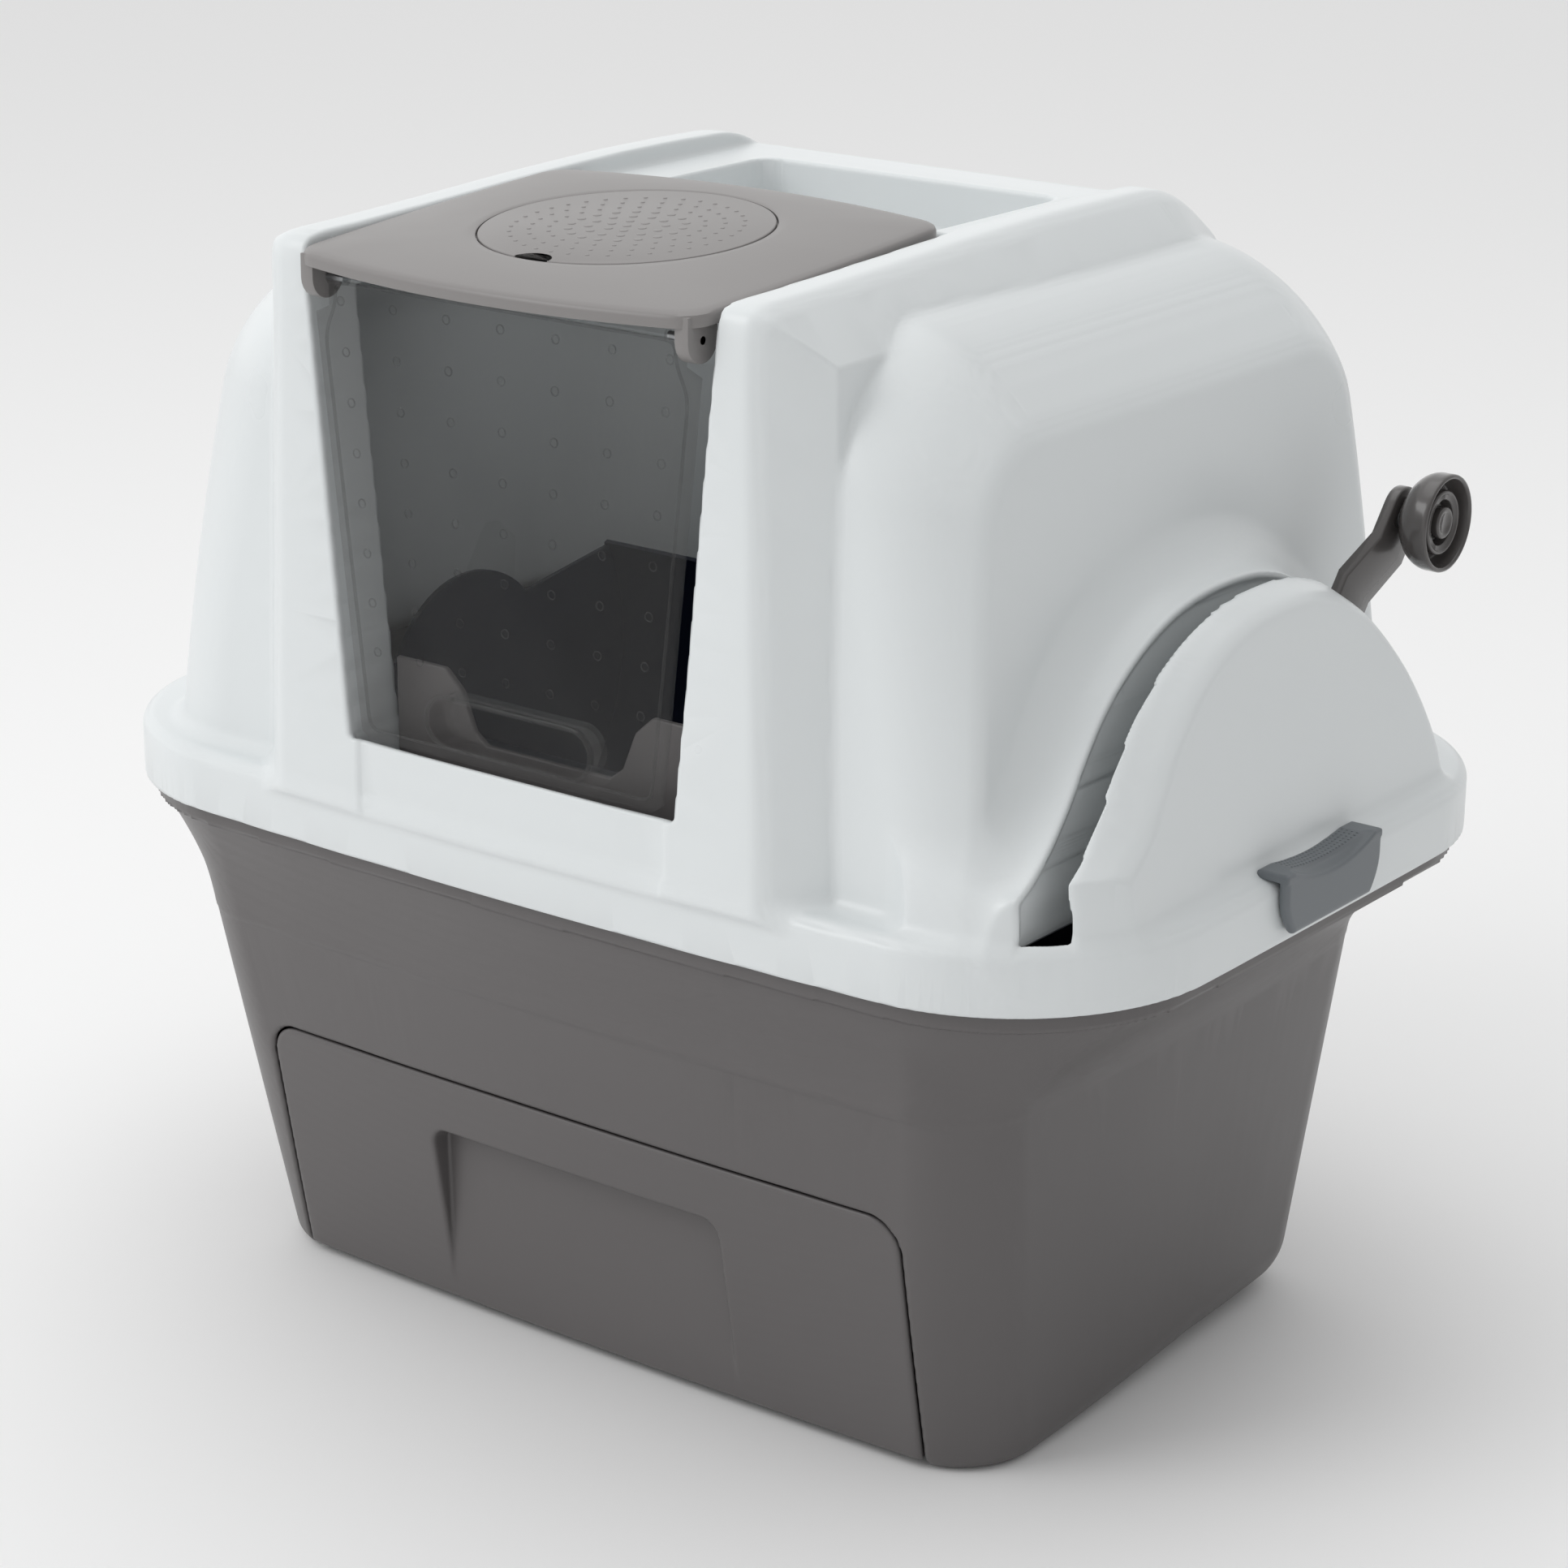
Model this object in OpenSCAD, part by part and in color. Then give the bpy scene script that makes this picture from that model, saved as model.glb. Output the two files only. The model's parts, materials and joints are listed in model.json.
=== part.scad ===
// Hooded self-sifting cat litter box: a tub with a waste drawer, a rotating litter pan worked by a side
// lever, and a lift-off hood with a clear flap door and a top hatch that holds a round air filter.
// Origin: on the floor under the middle of the hood rim. +X is the lever side, -Y is the front.

/* [Base] */
// Half width of the tub at the floor
tub_half_w = 242; // [236:1:248]
// Wall thickness of the moulded shells
wall = 3.5; // [3:0.5:4]
// Half width of the waste drawer front
drawer_half_w = 209; // [195:1:209]
// Height of the drawer front's top edge
drawer_top = 145; // [135:1:145]

/* [Hood] */
// Half width of the hood rim at its corners
rim_half_w = 327; // [325:1:329]
// Half depth of the hood rim at its corners
rim_half_d = 222; // [221:1:224]
// Height of the ledge on top of the rim
ledge_z = 307; // [305:1:309]
// Height of the top of the two frame ridges
ridge_z = 600; // [596:1:604]
// Height of the window sill
sill_z = 339; // [335:1:342]

/* [Sifting pan] */
// Outer radius of the pan drum
pan_r = 138; // [130:1:139]
// Half length of the pan drum
pan_half_w = 225; // [218:1:226]
// Diameter of the pan's drive shaft and left axle
shaft_d = 16; // [12:1:18]

/* [Lever] */
// Distance from the shaft to the knob
lever_r = 204; // [202:1:206]
// Lean of the lever behind the vertical at rest
lever_rest = 39; // [36:1:41]
// Diameter of the knob
knob_d = 50; // [44:1:50]

/* [Hatch] */
// Radius of the round filter cover
cover_r = 73; // [68:1:74]
// Downward slope of the hatch towards the front
hatch_slope = 3.9; // [3.5:0.1:4.2]

/* [Hidden] */
$fn = 96;
hood_white = [0.87, 0.89, 0.9];
base_grey = [0.4, 0.38, 0.39];
hatch_grey = [0.59, 0.57, 0.57];
lever_grey = [0.3, 0.29, 0.29];
pan_navy = [0.09, 0.11, 0.17];
fit = 0.1; // running clearance on a diameter
axis_y = -10; // pan and lever axis
axis_z = 290;
band_z = 274; // bottom edge of the hood rim
rim_r = 105; // corner radius of the hood rim
foot_z = ledge_z - wall - 1; // shapes above the ledge, and the hollows in them, start inside its thickness
deck_z = 143; // underside of the drawer deck
deck_t = 4;
ridge_foot = 158; // outer edge of the frame front at its foot
door_axis = [-231, 574]; // y and z of the flap hinge
hatch_axis = [-54, 597]; // y and z of the hatch hinge
slot_end_y = 101; // rear end of the lever slot
latch_mid_y = -6;
latch_axis = [333.5, 282.5]; // x and z of the side latch hinge

// ---------- outlines ----------
// Rounded rectangle whose sides bow outward by bx and by; front and back edges at f and b
function bowed(a, f, b, r, bx, by, n = 5) =
    let (m = (f + b) / 2, h = (b - f) / 2)
    [for (k = [0:3])
        let (c = [(k == 0 || k == 3 ? 1 : -1) * (a - r), (k < 2 ? 1 : -1) * (h - r)],
             e = 90 * (k + 1),
             next = [(k == 3 || k == 2 ? 1 : -1) * (a - r), (k == 3 || k == 0 ? 1 : -1) * (h - r)])
        each [for (p = concat(
            [for (i = [0:n]) let (t = 90 * k + 90 * i / n) c + r * [cos(t), sin(t)]],
            [for (j = [1:3]) c * (1 - j / 4) + next * j / 4 + r * [cos(e), sin(e)]]))
            [p[0] + bx * p[0] / a * (1 - pow(p[1] / h, 2)),
             m + p[1] + by * p[1] / h * (1 - pow(p[0] / a, 2))]]];

module slice(z, a, f, b, r, bx = 0, by = 0)
    translate([0, 0, z]) linear_extrude(0.01) polygon(bowed(a, f, b, r, bx, by));

// Hood rim outline, drawn inward by i
function rim(i) = bowed(rim_half_w - i, -rim_half_d + i, rim_half_d - i, rim_r - i, 3, 12);

// A thin plate standing in the YZ plane at x, leaning inward by `lean` degrees from height z0
module plate_yz(x, z0, lean, pts, thick = 0.1)
    translate([x, 0, z0]) rotate([0, -lean, 0]) rotate([90, 0, 90])
        linear_extrude(thick) polygon([for (p = pts) [p[0], p[1] - z0]]);

// ---------- tub ----------
function tub_w(z) = tub_half_w + 0.0913 * z;
function tub_front(z) = -165 - 0.18 * z;
function tub_back(z) = 151 + 0.12 * z;

// Solid tub drawn inward by i, from the height z0
module tub_solid(i, z0)
    hull() {
        slice(z0, tub_w(0) - 10 - i, tub_front(0) + 2 + i, tub_back(0) - 12 - i, 36 - i, 6, 5);
        slice(40, tub_w(40) - i, tub_front(40) + i, tub_back(40) - i, 42 - i, 6, 5);
        slice(250, tub_w(250) - i, tub_front(250) + i, tub_back(250) - i, 44 - i, 6, 5);
    }

module collar_solid(i)
    hull() {
        slice(214, tub_w(214) - i, tub_front(214) + i, tub_back(214) - i, 44 - i, 6, 5);
        slice(262, rim_half_w - 13 - i, -rim_half_d + 10 + i, rim_half_d - 14 - i, rim_r - 14, 3, 10);
        slice(272.01, rim_half_w - 6.5 - i, -rim_half_d + 6.5 + i, rim_half_d - 6.5 - i, rim_r - 6.5 - i, 3, 12);
    }

// Drawer front outline as seen from the front, with rounded top corners
module drawer_window(grow, y0, y1)
    translate([0, y1, 0]) rotate([90, 0, 0]) linear_extrude(y1 - y0) {
        translate([-drawer_half_w - grow, 5 - grow * 6])
            square([2 * (drawer_half_w + grow), drawer_top - 23 + grow * 7]);
        translate([-drawer_half_w + 18, drawer_top - 40]) square([2 * (drawer_half_w - 18), 40 + grow]);
        for (s = [-1, 1]) translate([s * (drawer_half_w - 18), drawer_top - 18]) circle(18 + grow);
    }

module base_shell()
    color(base_grey) difference() {
        union() {
            tub_solid(0, 0);
            collar_solid(0);
            translate([0, 0, 272]) linear_extrude(ledge_z - wall - 272) polygon(rim(6.5));
        }
        tub_solid(wall, 4);
        collar_solid(wall);
        translate([0, 0, 271]) linear_extrude(60) polygon(rim(6.5 + wall));
        drawer_window(1.2, -230, -150);
    }

module drawer_deck()
    color(base_grey) difference() {
        translate([0, 0, deck_z]) linear_extrude(deck_t)
            polygon(bowed(tub_w(deck_z) - 6, tub_front(deck_z) + 9, tub_back(deck_z) - 6, 38, 6, 3));
        translate([-195, -125, deck_z - 1]) cube([390, 200, deck_t + 2]);
    }

module drawer_rail(side)
    color(base_grey) translate([side > 0 ? 207.5 : -211.5, -148, 4]) cube([4, 275, deck_z - 4]);

module bearing(side)
    color(base_grey) translate([side > 0 ? 230 : -242, axis_y, 0]) difference() {
        union() {
            translate([0, -28, deck_z + deck_t]) cube([12, 56, axis_z - deck_z - deck_t]);
            translate([0, 0, axis_z]) rotate([0, 90, 0]) cylinder(h = 12, d = 56);
            translate([0, -40, deck_z + deck_t]) cube([12, 80, 8]);
        }
        translate([-1, 0, axis_z]) rotate([0, 90, 0]) cylinder(h = 14, d = shaft_d + fit);
    }

// Low board behind the door sill with a dip in the middle, where the cat steps over
module entry_guard()
    color(hatch_grey) translate([0, -199.5, 0]) rotate([90, 0, 0]) linear_extrude(3.5)
        polygon([[-100, 213], [100, 213], [100, 376], [67, 376], [56, 366], [48, 346], [40, 340],
                 [-40, 340], [-48, 346], [-56, 366], [-67, 376], [-100, 376]]);

// ---------- hood ----------
// The rounded side body of the hood, drawn inward by i
module fender_solid(i)
    hull() {
        slice(foot_z, 293 - i, -209 + i, 190 - i, 75 - i);
        slice(380, 281 - i, -209 + i, 188 - i, 75 - i);
        slice(435, 268 - i, -208 + i, 186 - i, 75 - i);
        slice(480, 259 - i, -206 + i, 184 - i, 75 - i);
        slice(510 - i / 3, 250 - i, -203 + i, 181 - i, 73 - i);
        slice(535 - i / 2, 236 - i, -193 + i, 170 - i, 66 - i);
        slice(554 - i * 0.7, 218 - i, -176 + i, 152 - i, 58 - i);
        slice(567 - i * 0.9, 192 - i, -152 + i, 128 - i, 50 - i);
        slice(576 - i, 160 - i, -118 + i, 92 - i, 40);
    }

// Flat panel on the lever side, drawn inward by i: everything outboard of it is cut away
module panel_cut(i)
    translate([259 - i, -300, ledge_z - 0.01]) rotate([0, -4.9, 0]) translate([0, 0, -60]) cube([80, 600, 400]);

// Side profiles of the raised frame: its narrow front, and the wider step 25 mm behind it
function ridge_profile(i) =
    let (t = ridge_z - i)
    [[-235 + i, foot_z], [-233 + i, 440], [-232 + i, 552], [-229 + i, t - 29], [-222 + i, t - 16],
     [-210 + i, t - 9], [-190 + i, t - 7], [-124, t - 5], [-58, t - 2], [13, t], [65, t], [119 - i, t - 3],
     [143 - i, t - 18], [168 - i, t - 34], [186 - i, t - 76], [193 - i, t - 160], [196 - i, foot_z]];
function step_profile(i) =
    let (t = ridge_z - 23 - i)
    [[-209 + i, foot_z], [-208 + i, 433], [-205 + i, 505], [-199 + i, t - 42], [-186 + i, t - 20],
     [-168 + i, t - 10], [-127, t - 6], [-59, t - 3], [13, t], [75, t], [126 - i, t - 8],
     [158 - i, t - 34], [180 - i, t - 76], [190 - i, t - 160], [192 - i, foot_z]];

module frame_solid(i)
    hull()
        for (s = [0, 1]) mirror([s, 0, 0]) {
            plate_yz(ridge_foot - i, 305, 1.9, ridge_profile(i));
            plate_yz(182 - i, 305, 1.9, step_profile(i));
        }

// Trapezoid between the frame's inner edges, drawn wider by g, from z0 to z1
function inner_edge(z) = 101 + 0.0973 * (z - 302);
function between(g, z0, z1) =
    [[-inner_edge(z0) - g, z0], [inner_edge(z0) + g, z0], [inner_edge(z1) + g, z1], [-inner_edge(z1) - g, z1]];
module between_ridges(g, z0, z1, y0, y1)
    translate([0, y1, 0]) rotate([90, 0, 0]) linear_extrude(y1 - y0) polygon(between(g, z0, z1));

// Side walls of the doorway and of the hatch opening: an L seen from the side
module jamb_walls()
    difference() {
        between_ridges(3, 262, 640, -240, 200);
        between_ridges(0, 261, 641, -241, 201);
        translate([-200, -196, 200]) cube([400, 420, 362]);
        translate([-200, -42, 200]) cube([400, 300, 500]);
    }

// Deck behind the hatch, with its tray-like recess; hollow from below
module rear_deck()
    difference() {
        between_ridges(3, 556.5, 640, -45.5, 210);
        translate([-110, -14, 500]) cube([9, 118, 86.5]);
        translate([101, -14, 500]) cube([9, 118, 86.5]);
        translate([-110, 104, 500]) cube([220, 120, 86.5]);
    }

// Side profiles of the lever arch, half widths measured either side of the lever axis
function arch_profile(i) =
    let (k = 1 - i / 150)
    [for (p = [[-195, ledge_z], [-195, 329], [-183, 334.5], [-164, 348], [-151, 359], [-136, 379], [-121, 397],
               [-106, 409], [-80, 425], [-52, 435], [-22, 440], [0, 441], [22, 439.5], [48, 432], [77, 417],
               [95, 402], [116, 381], [129, 365], [140, 348], [149, 331], [155, ledge_z]])
        [axis_y - 2 + p[0] * k, p[1] == ledge_z ? foot_z : ledge_z + (p[1] - ledge_z) * k]];
function face_profile(i) =
    let (k = 1 - i / 150)
    [for (p = [[-174, ledge_z], [-174, 326], [-158, 334], [-138, 343], [-127, 354], [-116, 373], [-104, 391],
               [-82, 411], [-56, 424], [-24, 431.5], [0, 433], [24, 431.5], [43, 427], [77, 411], [95, 396],
               [116, 376], [129, 360], [140, 343], [148, 328], [154, ledge_z]])
        [axis_y - 2 + p[0] * k, p[1] == ledge_z ? foot_z : ledge_z + (p[1] - ledge_z) * k]];

module arch_solid(i)
    intersection() {
        hull() {
            plate_yz(i > 0 ? 200 : 240, ledge_z, 0, arch_profile(i));
            plate_yz(299.5 - i, ledge_z, 4.3, arch_profile(i));
            plate_yz(317 - i, ledge_z, 4.3, face_profile(i));
        }
        translate([0, 0, 200]) linear_extrude(300) polygon(rim(4 + i));
    }

// Gap for the lever, open at the top and at the front foot
module lever_slot()
    intersection() {
        translate([0, slot_end_y, 0]) rotate([90, 0, 0]) linear_extrude(slot_end_y + 203)
            polygon([[281.3, foot_z], [299.5, foot_z], [299.5, 309], [289, 446], [274, 446], [281.3, 309]]);
        translate([0, 0, 290]) linear_extrude(200) polygon(rim(3.5));
    }

module hood_shell()
    color(hood_white) {
        difference() {
            union() {
                translate([0, 0, band_z]) linear_extrude(26) polygon(rim(0));
                hull() {
                    translate([0, 0, 299.9]) linear_extrude(0.1) polygon(rim(0));
                    translate([0, 0, 304]) linear_extrude(0.1) polygon(rim(2));
                    translate([0, 0, ledge_z - 0.1]) linear_extrude(0.1) polygon(rim(7));
                }
                difference() {
                    fender_solid(0);
                    panel_cut(0);
                }
                frame_solid(0);
                arch_solid(0);
                // flush panel under the window sill
                translate([-101, -233, band_z]) cube([202, 60, sill_z - band_z]);
            }
            // inside of the rim
            translate([0, 0, band_z - 1]) linear_extrude(ledge_z - wall - band_z + 1) polygon(rim(wall));
            // inside of the body, leaving the doorway walls and the rear deck
            difference() {
                union() {
                    difference() {
                        fender_solid(wall);
                        panel_cut(wall);
                    }
                    frame_solid(wall);
                }
                jamb_walls();
                rear_deck();
            }
            // inside of the arch, leaving the wall that keeps litter away from the lever
            difference() {
                arch_solid(wall);
                difference() {
                    panel_cut(wall);
                    panel_cut(0);
                }
            }
            lever_slot();
            // window and hatch opening
            between_ridges(0, sill_z, 640, -260, -190);
            between_ridges(0, 556, 640, -200, -42);
            // lowered deck, the seat under the hatch's back edge and the recess
            between_ridges(0, 590, 640, -50, 210);
            between_ridges(0, 577, 640, -50, -18);
            translate([-97, -42, 560]) cube([194, 142, 60]);
        }
        for (s = [-1, 1]) latch_lug(s);
    }

// Small lug on the rim that carries a side latch on its pin
module latch_lug(s)
    difference() {
        union() {
            translate([s * latch_axis[0], latch_mid_y + 8, latch_axis[1]]) rotate([90, 0, 0])
                cylinder(h = 16, d = 5);
            translate([s > 0 ? 328 : -latch_axis[0], latch_mid_y - 8, latch_axis[1] - 2])
                cube([latch_axis[0] - 328, 16, 4]);
        }
        translate([s * latch_axis[0], latch_mid_y + 9, latch_axis[1]]) rotate([90, 0, 0])
            cylinder(h = 18, d = 2.5);
    }

module hatch_pins()
    color("silver") for (s = [-1, 1]) translate([s > 0 ? 109 : -127.5, hatch_axis[0], hatch_axis[1] - 5])
        rotate([0, 90, 0]) cylinder(h = 18.5, d = 5);

module latch_pins()
    color("silver") for (s = [-1, 1]) translate([s * latch_axis[0], latch_mid_y + 38, latch_axis[1]])
        rotate([90, 0, 0]) cylinder(h = 76, d = 2.5);

// ---------- sifting pan ----------
module around_axis() translate([0, axis_y, axis_z]) rotate([90, 0, 90]) children();

module pan_mouth() // open sector of the drum, from 25 to 172 degrees above the back
    polygon(concat([[0, 0]], [for (t = [25:21:172]) 2 * pan_r * [cos(t), sin(t)]]));

module pan_end()
    linear_extrude(3) {
        difference() {
            circle(pan_r - 1);
            polygon([pan_r * [cos(173), sin(173)], pan_r * [cos(24), sin(24)],
                     [2 * pan_r, 2 * pan_r], [-2 * pan_r, 2 * pan_r]]);
        }
        circle(66);
    }

module litter_pan()
    color(pan_navy) around_axis() {
        translate([0, 0, -pan_half_w]) linear_extrude(2 * pan_half_w) difference() {
            circle(pan_r);
            circle(pan_r - 3);
            pan_mouth();
        }
        for (x = [0.2 - pan_half_w, pan_half_w - 3.2]) translate([0, 0, x]) pan_end();
        // lip that closes the pocket between the grid and the drum
        rotate([0, 0, 172.5]) translate([100, 0, 1 - pan_half_w])
            cube([pan_r - 101.5, 3, 2 * pan_half_w - 2]);
    }

grid_low = [133 * cos(235), 133 * sin(235)];
grid_high = [103 * cos(174.9), 103 * sin(174.9)];
module sifting_grid()
    let (run = norm(grid_high - grid_low), tilt = atan2(grid_high[1] - grid_low[1], grid_high[0] - grid_low[0]))
    color(hatch_grey) around_axis() translate([grid_low[0], grid_low[1], 0]) rotate([0, 0, tilt])
        rotate([90, 0, 0]) translate([0, -(pan_half_w - 4), -1.5]) linear_extrude(3) difference() {
            square([run, 2 * (pan_half_w - 4)]);
            for (i = [0:3], j = [0:21])
                translate([8 + i * (run - 12) / 4, 10 + j * 19.8]) square([(run - 12) / 4 - 5, 14]);
        }

module pan_axle_left()
    color(lever_grey) translate([-pan_half_w - 19, axis_y, axis_z]) rotate([0, 90, 0])
        cylinder(h = 19, d = shaft_d);

module drive_shaft()
    color(lever_grey) translate([pan_half_w, axis_y, axis_z]) rotate([0, 90, 0])
        cylinder(h = 287.5 - pan_half_w, d = shaft_d);

// ---------- lever ----------
module along_lever() translate([0, axis_y, axis_z]) rotate([-lever_rest, 0, 0]) children();

module lever_arm()
    color(lever_grey) along_lever() difference() {
        intersection() {
            rotate([90, 0, 0]) translate([0, 0, -30]) linear_extrude(60)
                polygon([[281, -30], [287.5, -30], [287.5, 160], [297, 184], [297, 230], [290.5, 230],
                         [290.5, 186], [281, 163]]);
            rotate([90, 0, 90]) linear_extrude(400) {
                circle(22);
                polygon([[-18, 0], [18, 0], [15, lever_r], [-15, lever_r]]);
                translate([0, lever_r]) circle(15);
            }
        }
        translate([270, 0, 0]) rotate([0, 90, 0]) cylinder(h = 25, d = shaft_d);
        translate([285, 0, lever_r]) rotate([0, 90, 0]) cylinder(h = 25, d = 10);
    }

module knob_spindle()
    color("silver") along_lever() translate([290.5, 0, lever_r]) rotate([0, 90, 0]) cylinder(h = 19, d = 10);

module knob_cup()
    color(lever_grey) along_lever() translate([298, 0, lever_r]) rotate([0, 90, 0]) difference() {
        rotate_extrude() polygon(concat(
            [[0, 0], [knob_d * 0.24, 0]],
            [for (t = [60:-10:0]) [knob_d / 2 * cos(t), 16 - 16 * sin(t) * 1.02]],
            [[knob_d / 2, 21], [knob_d / 2 - 1, 23.5], [knob_d / 2 - 2.5, 23.5], [knob_d / 2 - 4, 13],
             [17, 13], [16, 20.5], [11, 20.5], [10, 13], [0, 13]]));
        translate([0, 0, -1]) cylinder(h = 13, d = 10 + fit);
    }

module knob_cap()
    color(lever_grey) along_lever() translate([311.2, 0, lever_r]) rotate([0, 90, 0]) {
        cylinder(h = 8, r = 8);
        cylinder(h = 9.5, r = 6.5);
    }

// ---------- hatch ----------
// Hatch frame: origin on the hinge line, sloping down to the front
module on_hatch() translate([0, hatch_axis[0], hatch_axis[1]]) rotate([hatch_slope, 0, 0]) children();
filter_y = -84; // filter centre ahead of the hinge

module hatch_outline(i) polygon(bowed(124.5 - i, -188 + i, 8 - i, 12 - i, 2, i > 0 ? 14 : 16));

module hatch_lid()
    color(hatch_grey) difference() {
        union() {
            on_hatch() {
                difference() {
                    hull() {
                        linear_extrude(3) hatch_outline(0);
                        translate([0, filter_y, 6.9]) cylinder(h = 0.1, r = cover_r + 5, $fn = 48);
                    }
                    hull() {
                        translate([0, 0, -0.1]) linear_extrude(0.6) hatch_outline(3);
                        translate([0, filter_y, 3.9]) cylinder(h = 0.1, r = cover_r + 3, $fn = 48);
                    }
                }
                translate([0, filter_y, 1]) cylinder(h = 5.5, r = cover_r + 3.8);
            }
            for (s = [-1, 1]) {
                // ears that carry the flap door
                translate([s * 116.5 - 4, door_axis[0], door_axis[1]]) {
                    rotate([0, 90, 0]) cylinder(h = 8, d = 22);
                    translate([0, -8, 0]) cube([8, 16, 13]);
                }
                // knuckles on the hatch hinge
                translate([s * 114.5 - 3.5, hatch_axis[0], hatch_axis[1] - 5]) {
                    rotate([0, 90, 0]) cylinder(h = 7, d = 10);
                    translate([0, -4, 0]) cube([7, 8, 6.5]);
                }
            }
        }
        on_hatch() translate([0, filter_y, 0]) {
            translate([0, 0, 4.4]) cylinder(h = 6, r = cover_r + 1);
            translate([0, 0, 2.4]) cylinder(h = 6, r = cover_r - 3);
            translate([0, 0, -6]) cylinder(h = 14, r = cover_r - 7);
        }
        translate([-140, door_axis[0], door_axis[1]]) rotate([0, 90, 0]) cylinder(h = 280, d = 4);
        translate([-140, hatch_axis[0], hatch_axis[1] - 5]) rotate([0, 90, 0]) cylinder(h = 280, d = 5 + fit);
    }

module filter_basket()
    color(hatch_grey) on_hatch() translate([0, filter_y, 0]) difference() {
        union() {
            translate([0, 0, 2.5]) cylinder(h = 1.8, r = cover_r - 3.5);
            translate([0, 0, -14]) cylinder(h = 18.3, r = cover_r - 7.6);
        }
        translate([0, 0, -12]) cylinder(h = 20, r = cover_r - 10);
        for (ring = [1:4], k = [0:6 * ring - 1])
            rotate([0, 0, 60 * k / ring]) translate([13 * ring, 0, -15]) cylinder(h = 4, d = 7);
    }

module carbon_filter()
    color([0.13, 0.13, 0.13]) on_hatch() translate([0, filter_y, -11.8]) cylinder(h = 13.5, r = cover_r - 11);

module filter_cover()
    color(hatch_grey) on_hatch() translate([0, filter_y, 4.5]) difference() {
        cylinder(h = 2.6, r = cover_r);
        translate([0, -cover_r, -1]) cylinder(h = 5, r = 10);
        for (ring = [1:3], k = [0:6 * ring - 1])
            rotate([0, 0, 60 * k / ring + 9 * ring]) translate([16 * ring, 0, 2.1]) cylinder(h = 1, d = 6);
    }

module door_pins()
    color("silver") for (s = [-1, 1]) translate([s > 0 ? 101 : -120.5, door_axis[0], door_axis[1]])
        rotate([0, 90, 0]) cylinder(h = 19.5, d = 4);

// ---------- flap door ----------
function door_w(z) = 96 + 0.108 * (z - sill_z);
module door_panel()
    color([0.6, 0.62, 0.62, 0.5]) difference() {
        union() {
            translate([0, -230, 0]) rotate([90, 0, 0]) linear_extrude(3) difference() {
                polygon([[-door_w(345), 345], [-door_w(342) + 5, sill_z + 2], [door_w(342) - 5, sill_z + 2],
                         [door_w(345), 345], [door_w(556), 556], [110.5, 560], [110.5, 578], [-110.5, 578],
                         [-110.5, 560], [-door_w(556), 556]]);
                pull_slot(0);
            }
            // pocket of the finger pull
            translate([0, -220, 0]) rotate([90, 0, 0]) linear_extrude(10) difference() {
                pull_slot(2);
                pull_slot(0);
            }
            translate([0, -220, 0]) rotate([90, 0, 0]) linear_extrude(2) pull_slot(1);
            for (s = [-1, 1]) translate([s > 0 ? 101 : -110.5, door_axis[0], door_axis[1]])
                rotate([0, 90, 0]) cylinder(h = 9.5, d = 8);
        }
        translate([-140, door_axis[0], door_axis[1]]) rotate([0, 90, 0]) cylinder(h = 280, d = 4 + fit);
    }

module pull_slot(g) {
    translate([-40, 349 - g]) square([80, 22 + 2 * g]);
    for (s = [-1, 1]) translate([s * 40, 360]) circle(11 + g);
}

// ---------- waste drawer ----------
function drawer_front_y(z) = -166 - 0.18 * z;
module waste_drawer()
    color(base_grey) difference() {
        union() {
            difference() {
                intersection() {
                    tub_solid(0, 0);
                    drawer_window(0, -230, -140);
                }
                tub_solid(4, -1);
            }
            difference() {
                translate([-206, 0, 0]) rotate([90, 0, 90]) linear_extrude(412)
                    polygon([[drawer_front_y(7), 7], [134.5, 7], [134.5, 132], [drawer_front_y(132), 132]]);
                translate([-203.5, 0, 0]) rotate([90, 0, 90]) linear_extrude(407)
                    polygon([[drawer_front_y(9) + 4, 9.5], [132.2, 9.5], [132.2, 140],
                             [drawer_front_y(140) + 4, 140]]);
            }
            // wall behind the finger pull
            translate([-100, 0, 0]) rotate([90, 0, 90]) linear_extrude(200)
                polygon([[drawer_front_y(9) + 1, 9], [-165, 9], [-169, 116], [drawer_front_y(116) + 1, 116]]);
            for (s = [-1, 1]) translate([s * 150 - 6, -150, 4.2]) cube([12, 270, 3]);
        }
        // wedge-shaped finger pull, deepest under its top edge
        intersection() {
            translate([-100, 0, 0]) rotate([90, 0, 90]) linear_extrude(200)
                polygon([[-240, 0], [-172.5, 5], [-176, 112], [-240, 112]]);
            translate([0, -150, 0]) rotate([90, 0, 0]) linear_extrude(90) {
                translate([-96, 0]) square([192, 102]);
                translate([-86, 0]) square([172, 112]);
                for (s = [-1, 1]) translate([s * 86, 102]) circle(10);
            }
        }
    }

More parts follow.
